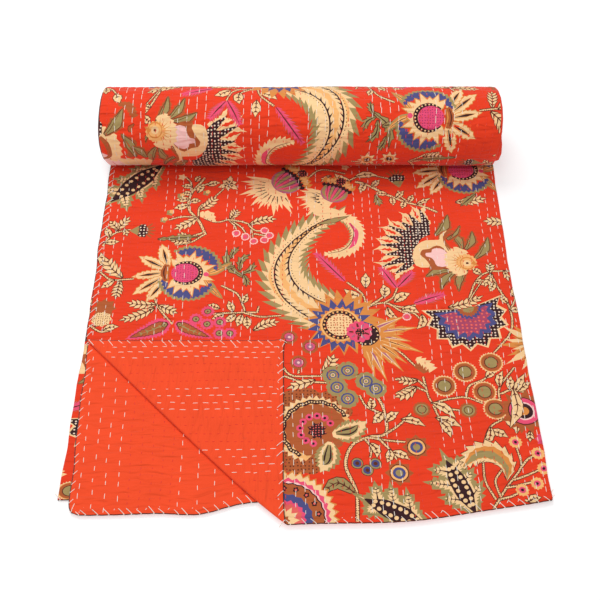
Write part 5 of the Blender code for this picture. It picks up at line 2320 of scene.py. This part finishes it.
@dataclass
class Stitching:
    """All the stitches: running stitches in rows along the quilt, and whip stitches round its edge."""

    strip: FoldedStrip
    quilting: Quilting
    period: float = 0.0132
    stitch: float = 0.0086
    red_period: float = 0.0085
    red_stitch: float = 0.0048
    whip_period: float = 0.0130
    thread: float = 0.00085
    # How high a running stitch's curve is pulled, and how many thread widths its ends sink.
    arch: float = 0.00075
    sunk: float = 0.55
    # The second layer's stitches lie further apart, and the plain side shows a little less of each stitch.
    second_spread: float = 1.32
    plain_share: float = 0.86
    seed: int = 11

    def along_rows(
        self, rows: Sequence[float], low: float, high: float, period: float, keep: Callable, rng: Dice
    ) -> Array:
        """Places of stitches in rows.

        Args:
            rows: each row's length across.
            low: where the rows start along the cloth.
            high: where they end.
            period: from one stitch to the next.
            keep: true for the places that are sewn.
            rng: the source of the small differences that a hand makes.

        Returns:
            One row of across and along for each stitch.
        """
        found = []
        for across in rows:
            count = int((high - low) / period)
            along = low + period * (rng.random() + np.arange(count) + rng.normal(0, 0.10, count))
            drift = 0.0011 * np.sin(along * 31 + across * 50) + rng.normal(0, 0.0004, count)
            found.append(np.stack([across + drift, along], axis=1))
        places = np.concatenate(found)
        return places[keep(places[:, 0], places[:, 1]) & (places[:, 1] < high)]

    def runs(
        self, name: str, places: Array, side: int, length: float, thread: Material, rng: Dice
    ) -> Object:
        """Sews running stitches.

        Args:
            name: the piece's name.
            places: their middles on the cloth.
            side: 1 on the printed side, -1 on the plain one.
            length: a stitch's length.
            thread: the thread's material.
            rng: the source of the small differences.

        Returns:
            The piece.
        """
        at, normal, north = self.strip.surface(*places.T, side * self.strip.thickness / 2, self.quilting.puff)
        lie = north + np.cross(north, normal) * rng.normal(0, 0.035, (len(places), 1))
        size = np.clip(rng.normal(1, 0.10, len(places)), 0.75, 1.25)
        low = -self.sunk * self.thread
        strand = ((-length / 2, 0.0, low), (0.0, 0.0, self.arch), (length / 2, 0.0, low))
        tree = StitchTree(f"{name}_tree", [strand], self.thread)
        return tree.sew(name, at, side * normal, lie, size, thread)

    def running(self, white: Material, red: Material) -> list[Object]:
        """Sews all the rows, on the sides of the cloth that can be seen.

        Args:
            white: the white thread.
            red: the red thread.

        Returns:
            The pieces.
        """
        strip, w, corner = self.strip, self.strip.layer, self.strip.turned_back
        rng = np.random.default_rng(self.seed)
        start = 0.006
        roll_end = strip.flat_run + 2 * math.pi * strip.roll_radius - 0.004
        made = []
        for kind, thread, period, length in (
            (Thread.WHITE, white, self.period, self.stitch),
            (Thread.RED, red, self.red_period, self.red_stitch),
        ):
            top, roll, flap, second = (
                [u for u, sewn in rows if sewn is kind]
                for rows in (
                    self.quilting.rows(start, w - 0.006),
                    self.quilting.rows(w + 0.008, 2 * w - 0.006),
                    self.quilting.corner_rows(),
                    self.quilting.second_rows(),
                )
            )
            printed = [
                self.along_rows(top, start, strip.flat_run, period, lambda u, v: u + v > corner + 0.012, rng),
                self.along_rows(roll, strip.flat_run, roll_end, period, lambda u, v: v > 0, rng),
            ]
            made.append(
                self.runs(f"{kind.value}_running_stitches", np.concatenate(printed), 1, length, thread, rng)
            )
            flap = [u for u in flap if u < corner - 0.03]
            second = [strip.width - u for u in second]
            wide = period * self.second_spread
            plain = [
                self.along_rows(flap, start, corner, period, lambda u, v: u + v < corner - 0.014, rng),
                self.along_rows(
                    second, start, corner, wide, lambda u, v: strip.width - u + v < corner - 0.002, rng
                ),
            ]
            name = f"{kind.value}_backing_stitches"
            made.append(self.runs(name, np.concatenate(plain), -1, length * self.plain_share, thread, rng))
        return made

    def whipped(self, white: Material) -> Object:
        """Sews the slanting stitches that bind the cloth's edge, wherever the edge can be seen.

        Args:
            white: the white thread.

        Returns:
            The piece.
        """
        strip, rng = self.strip, np.random.default_rng(self.seed + 1)
        long = strip.flat_run + 0.02
        places, out = [], []
        for start, run, length, outward in (
            ((0, 0), (0, 1), long, (-1.0, 0)),
            ((strip.width, 0), (0, 1), long, (1.0, 0)),
            ((0, 0), (1, 0), strip.width, (0, -1.0)),
        ):
            count = int(length / self.whip_period)
            t = self.whip_period * (0.35 + np.arange(count) + rng.normal(0, 0.13, count))
            places.append(np.stack([start[0] + run[0] * t, start[1] + run[1] * t], axis=1))
            out.append(np.tile(outward, (count, 1)))
        places, out = np.concatenate(places), np.concatenate(out)
        at, normal, north = strip.surface(*places.T, 0.0, self.quilting.puff)
        lie = np.cross(north, normal) * out[:, :1] + north * out[:, 1:]
        size = np.clip(rng.normal(1, 0.13, len(places)), 0.7, 1.3)
        face = strip.thickness / 2
        # Over the printed side, round the edge, and under the plain side.
        strands = (
            (
                (-0.0068, -0.0064, face - 0.0004), (-0.003, -0.0024, face + 0.0011),
                (0.0007, 0.0014, face - 0.0002),
            ),
            ((0.0004, 0.0011, face + 0.0002), (0.0015, 0.0004, 0.0), (0.0004, -0.0003, -face - 0.0002)),
            (
                (0.0007, -0.0006, 0.0002 - face), (-0.003, 0.003, -face - 0.001),
                (-0.0068, 0.0068, 0.0004 - face),
            ),
        )
        stitch = StitchTree("whip_stitch", strands, self.thread, steps=4)
        return stitch.sew("whip_stitches", at, normal, lie, size, white)


# ---------------- the studio


@dataclass
class Studio:
    """A pale floor, soft light from above and the camera."""

    floor_half: float = 6.0
    floor_colour: str = "#C8C8C8"
    floor_glow: float = 0.5
    sky_strength: float = 0.45
    camera_place: tuple[float, float, float] = (-0.0067, -0.8422, 1.142)
    camera_tilt: float = 36.4
    focal: float = 63.0
    # Name, place, turn in degrees, and power in watts of each lamp.
    lamps: tuple = (
        ("overhead_softbox", (-0.40, 0.75, 1.8), (-20.0, -13.0, 0.0), 18.0),
        ("front_softbox", (-0.1, -0.6, 1.8), (18.0, -3.0, 0.0), 10.0),
    )
    lamp_width: float = 1.0

    def build(self) -> None:
        """Makes the floor, lights, sky and camera."""
        shape = bmesh.new()
        bmesh.ops.create_grid(shape, x_segments=1, y_segments=1, size=self.floor_half)
        floor = bpy.data.meshes.new("floor")
        shape.to_mesh(floor)
        shape.free()
        material, _, shader = new_material("matt_white_floor")
        shader.inputs["Base Color"].default_value = linear(self.floor_colour)
        shader.inputs["Roughness"].default_value = 0.9
        shader.inputs["Emission Color"].default_value = linear("#FFFFFF")
        shader.inputs["Emission Strength"].default_value = self.floor_glow
        floor.materials.append(material)
        ground = make_object("floor", floor)
        for name, place, turn, power in self.lamps:
            lamp = bpy.data.lights.new(name, "AREA")
            lamp.shape = "SQUARE"
            lamp.size = self.lamp_width
            lamp.energy = power
            thing = make_object(name, lamp)
            thing.location = place
            thing.rotation_euler = [math.radians(angle) for angle in turn]
        scene = bpy.context.scene
        scene.world = bpy.data.worlds.new("studio_sky")
        scene.world.use_nodes = True
        back = scene.world.node_tree.nodes["Background"]
        back.inputs["Color"].default_value = linear("#FFFFFF")
        back.inputs["Strength"].default_value = self.sky_strength
        scene.camera = make_object("camera", bpy.data.cameras.new("camera"))
        scene.camera.data.lens = self.focal
        scene.camera.location = self.camera_place
        scene.camera.rotation_euler = (math.radians(self.camera_tilt), 0.0, 0.0)
        scene.view_settings.view_transform = "Standard"


def main() -> None:
    """Builds the quilt, its stitches and the studio."""
    Studio().build()
    log.info("studio ready")
    strip = FoldedStrip()
    quilting = Quilting(strip)
    cloth = KanthaQuilt(strip, quilting).build()
    white = SewingThread("white_cotton_thread", "#F6EBDD").build()
    red = SewingThread("red_cotton_thread", "#E8361C").build()
    stitching = Stitching(strip, quilting)
    stitches = [*stitching.running(white, red), stitching.whipped(white)]
    for piece in (cloth, *stitches):
        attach(piece, "root")
    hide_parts("quilt")
    log.info("quilt ready: %d pieces", 1 + len(stitches))


if __name__ == "__main__":
    main()
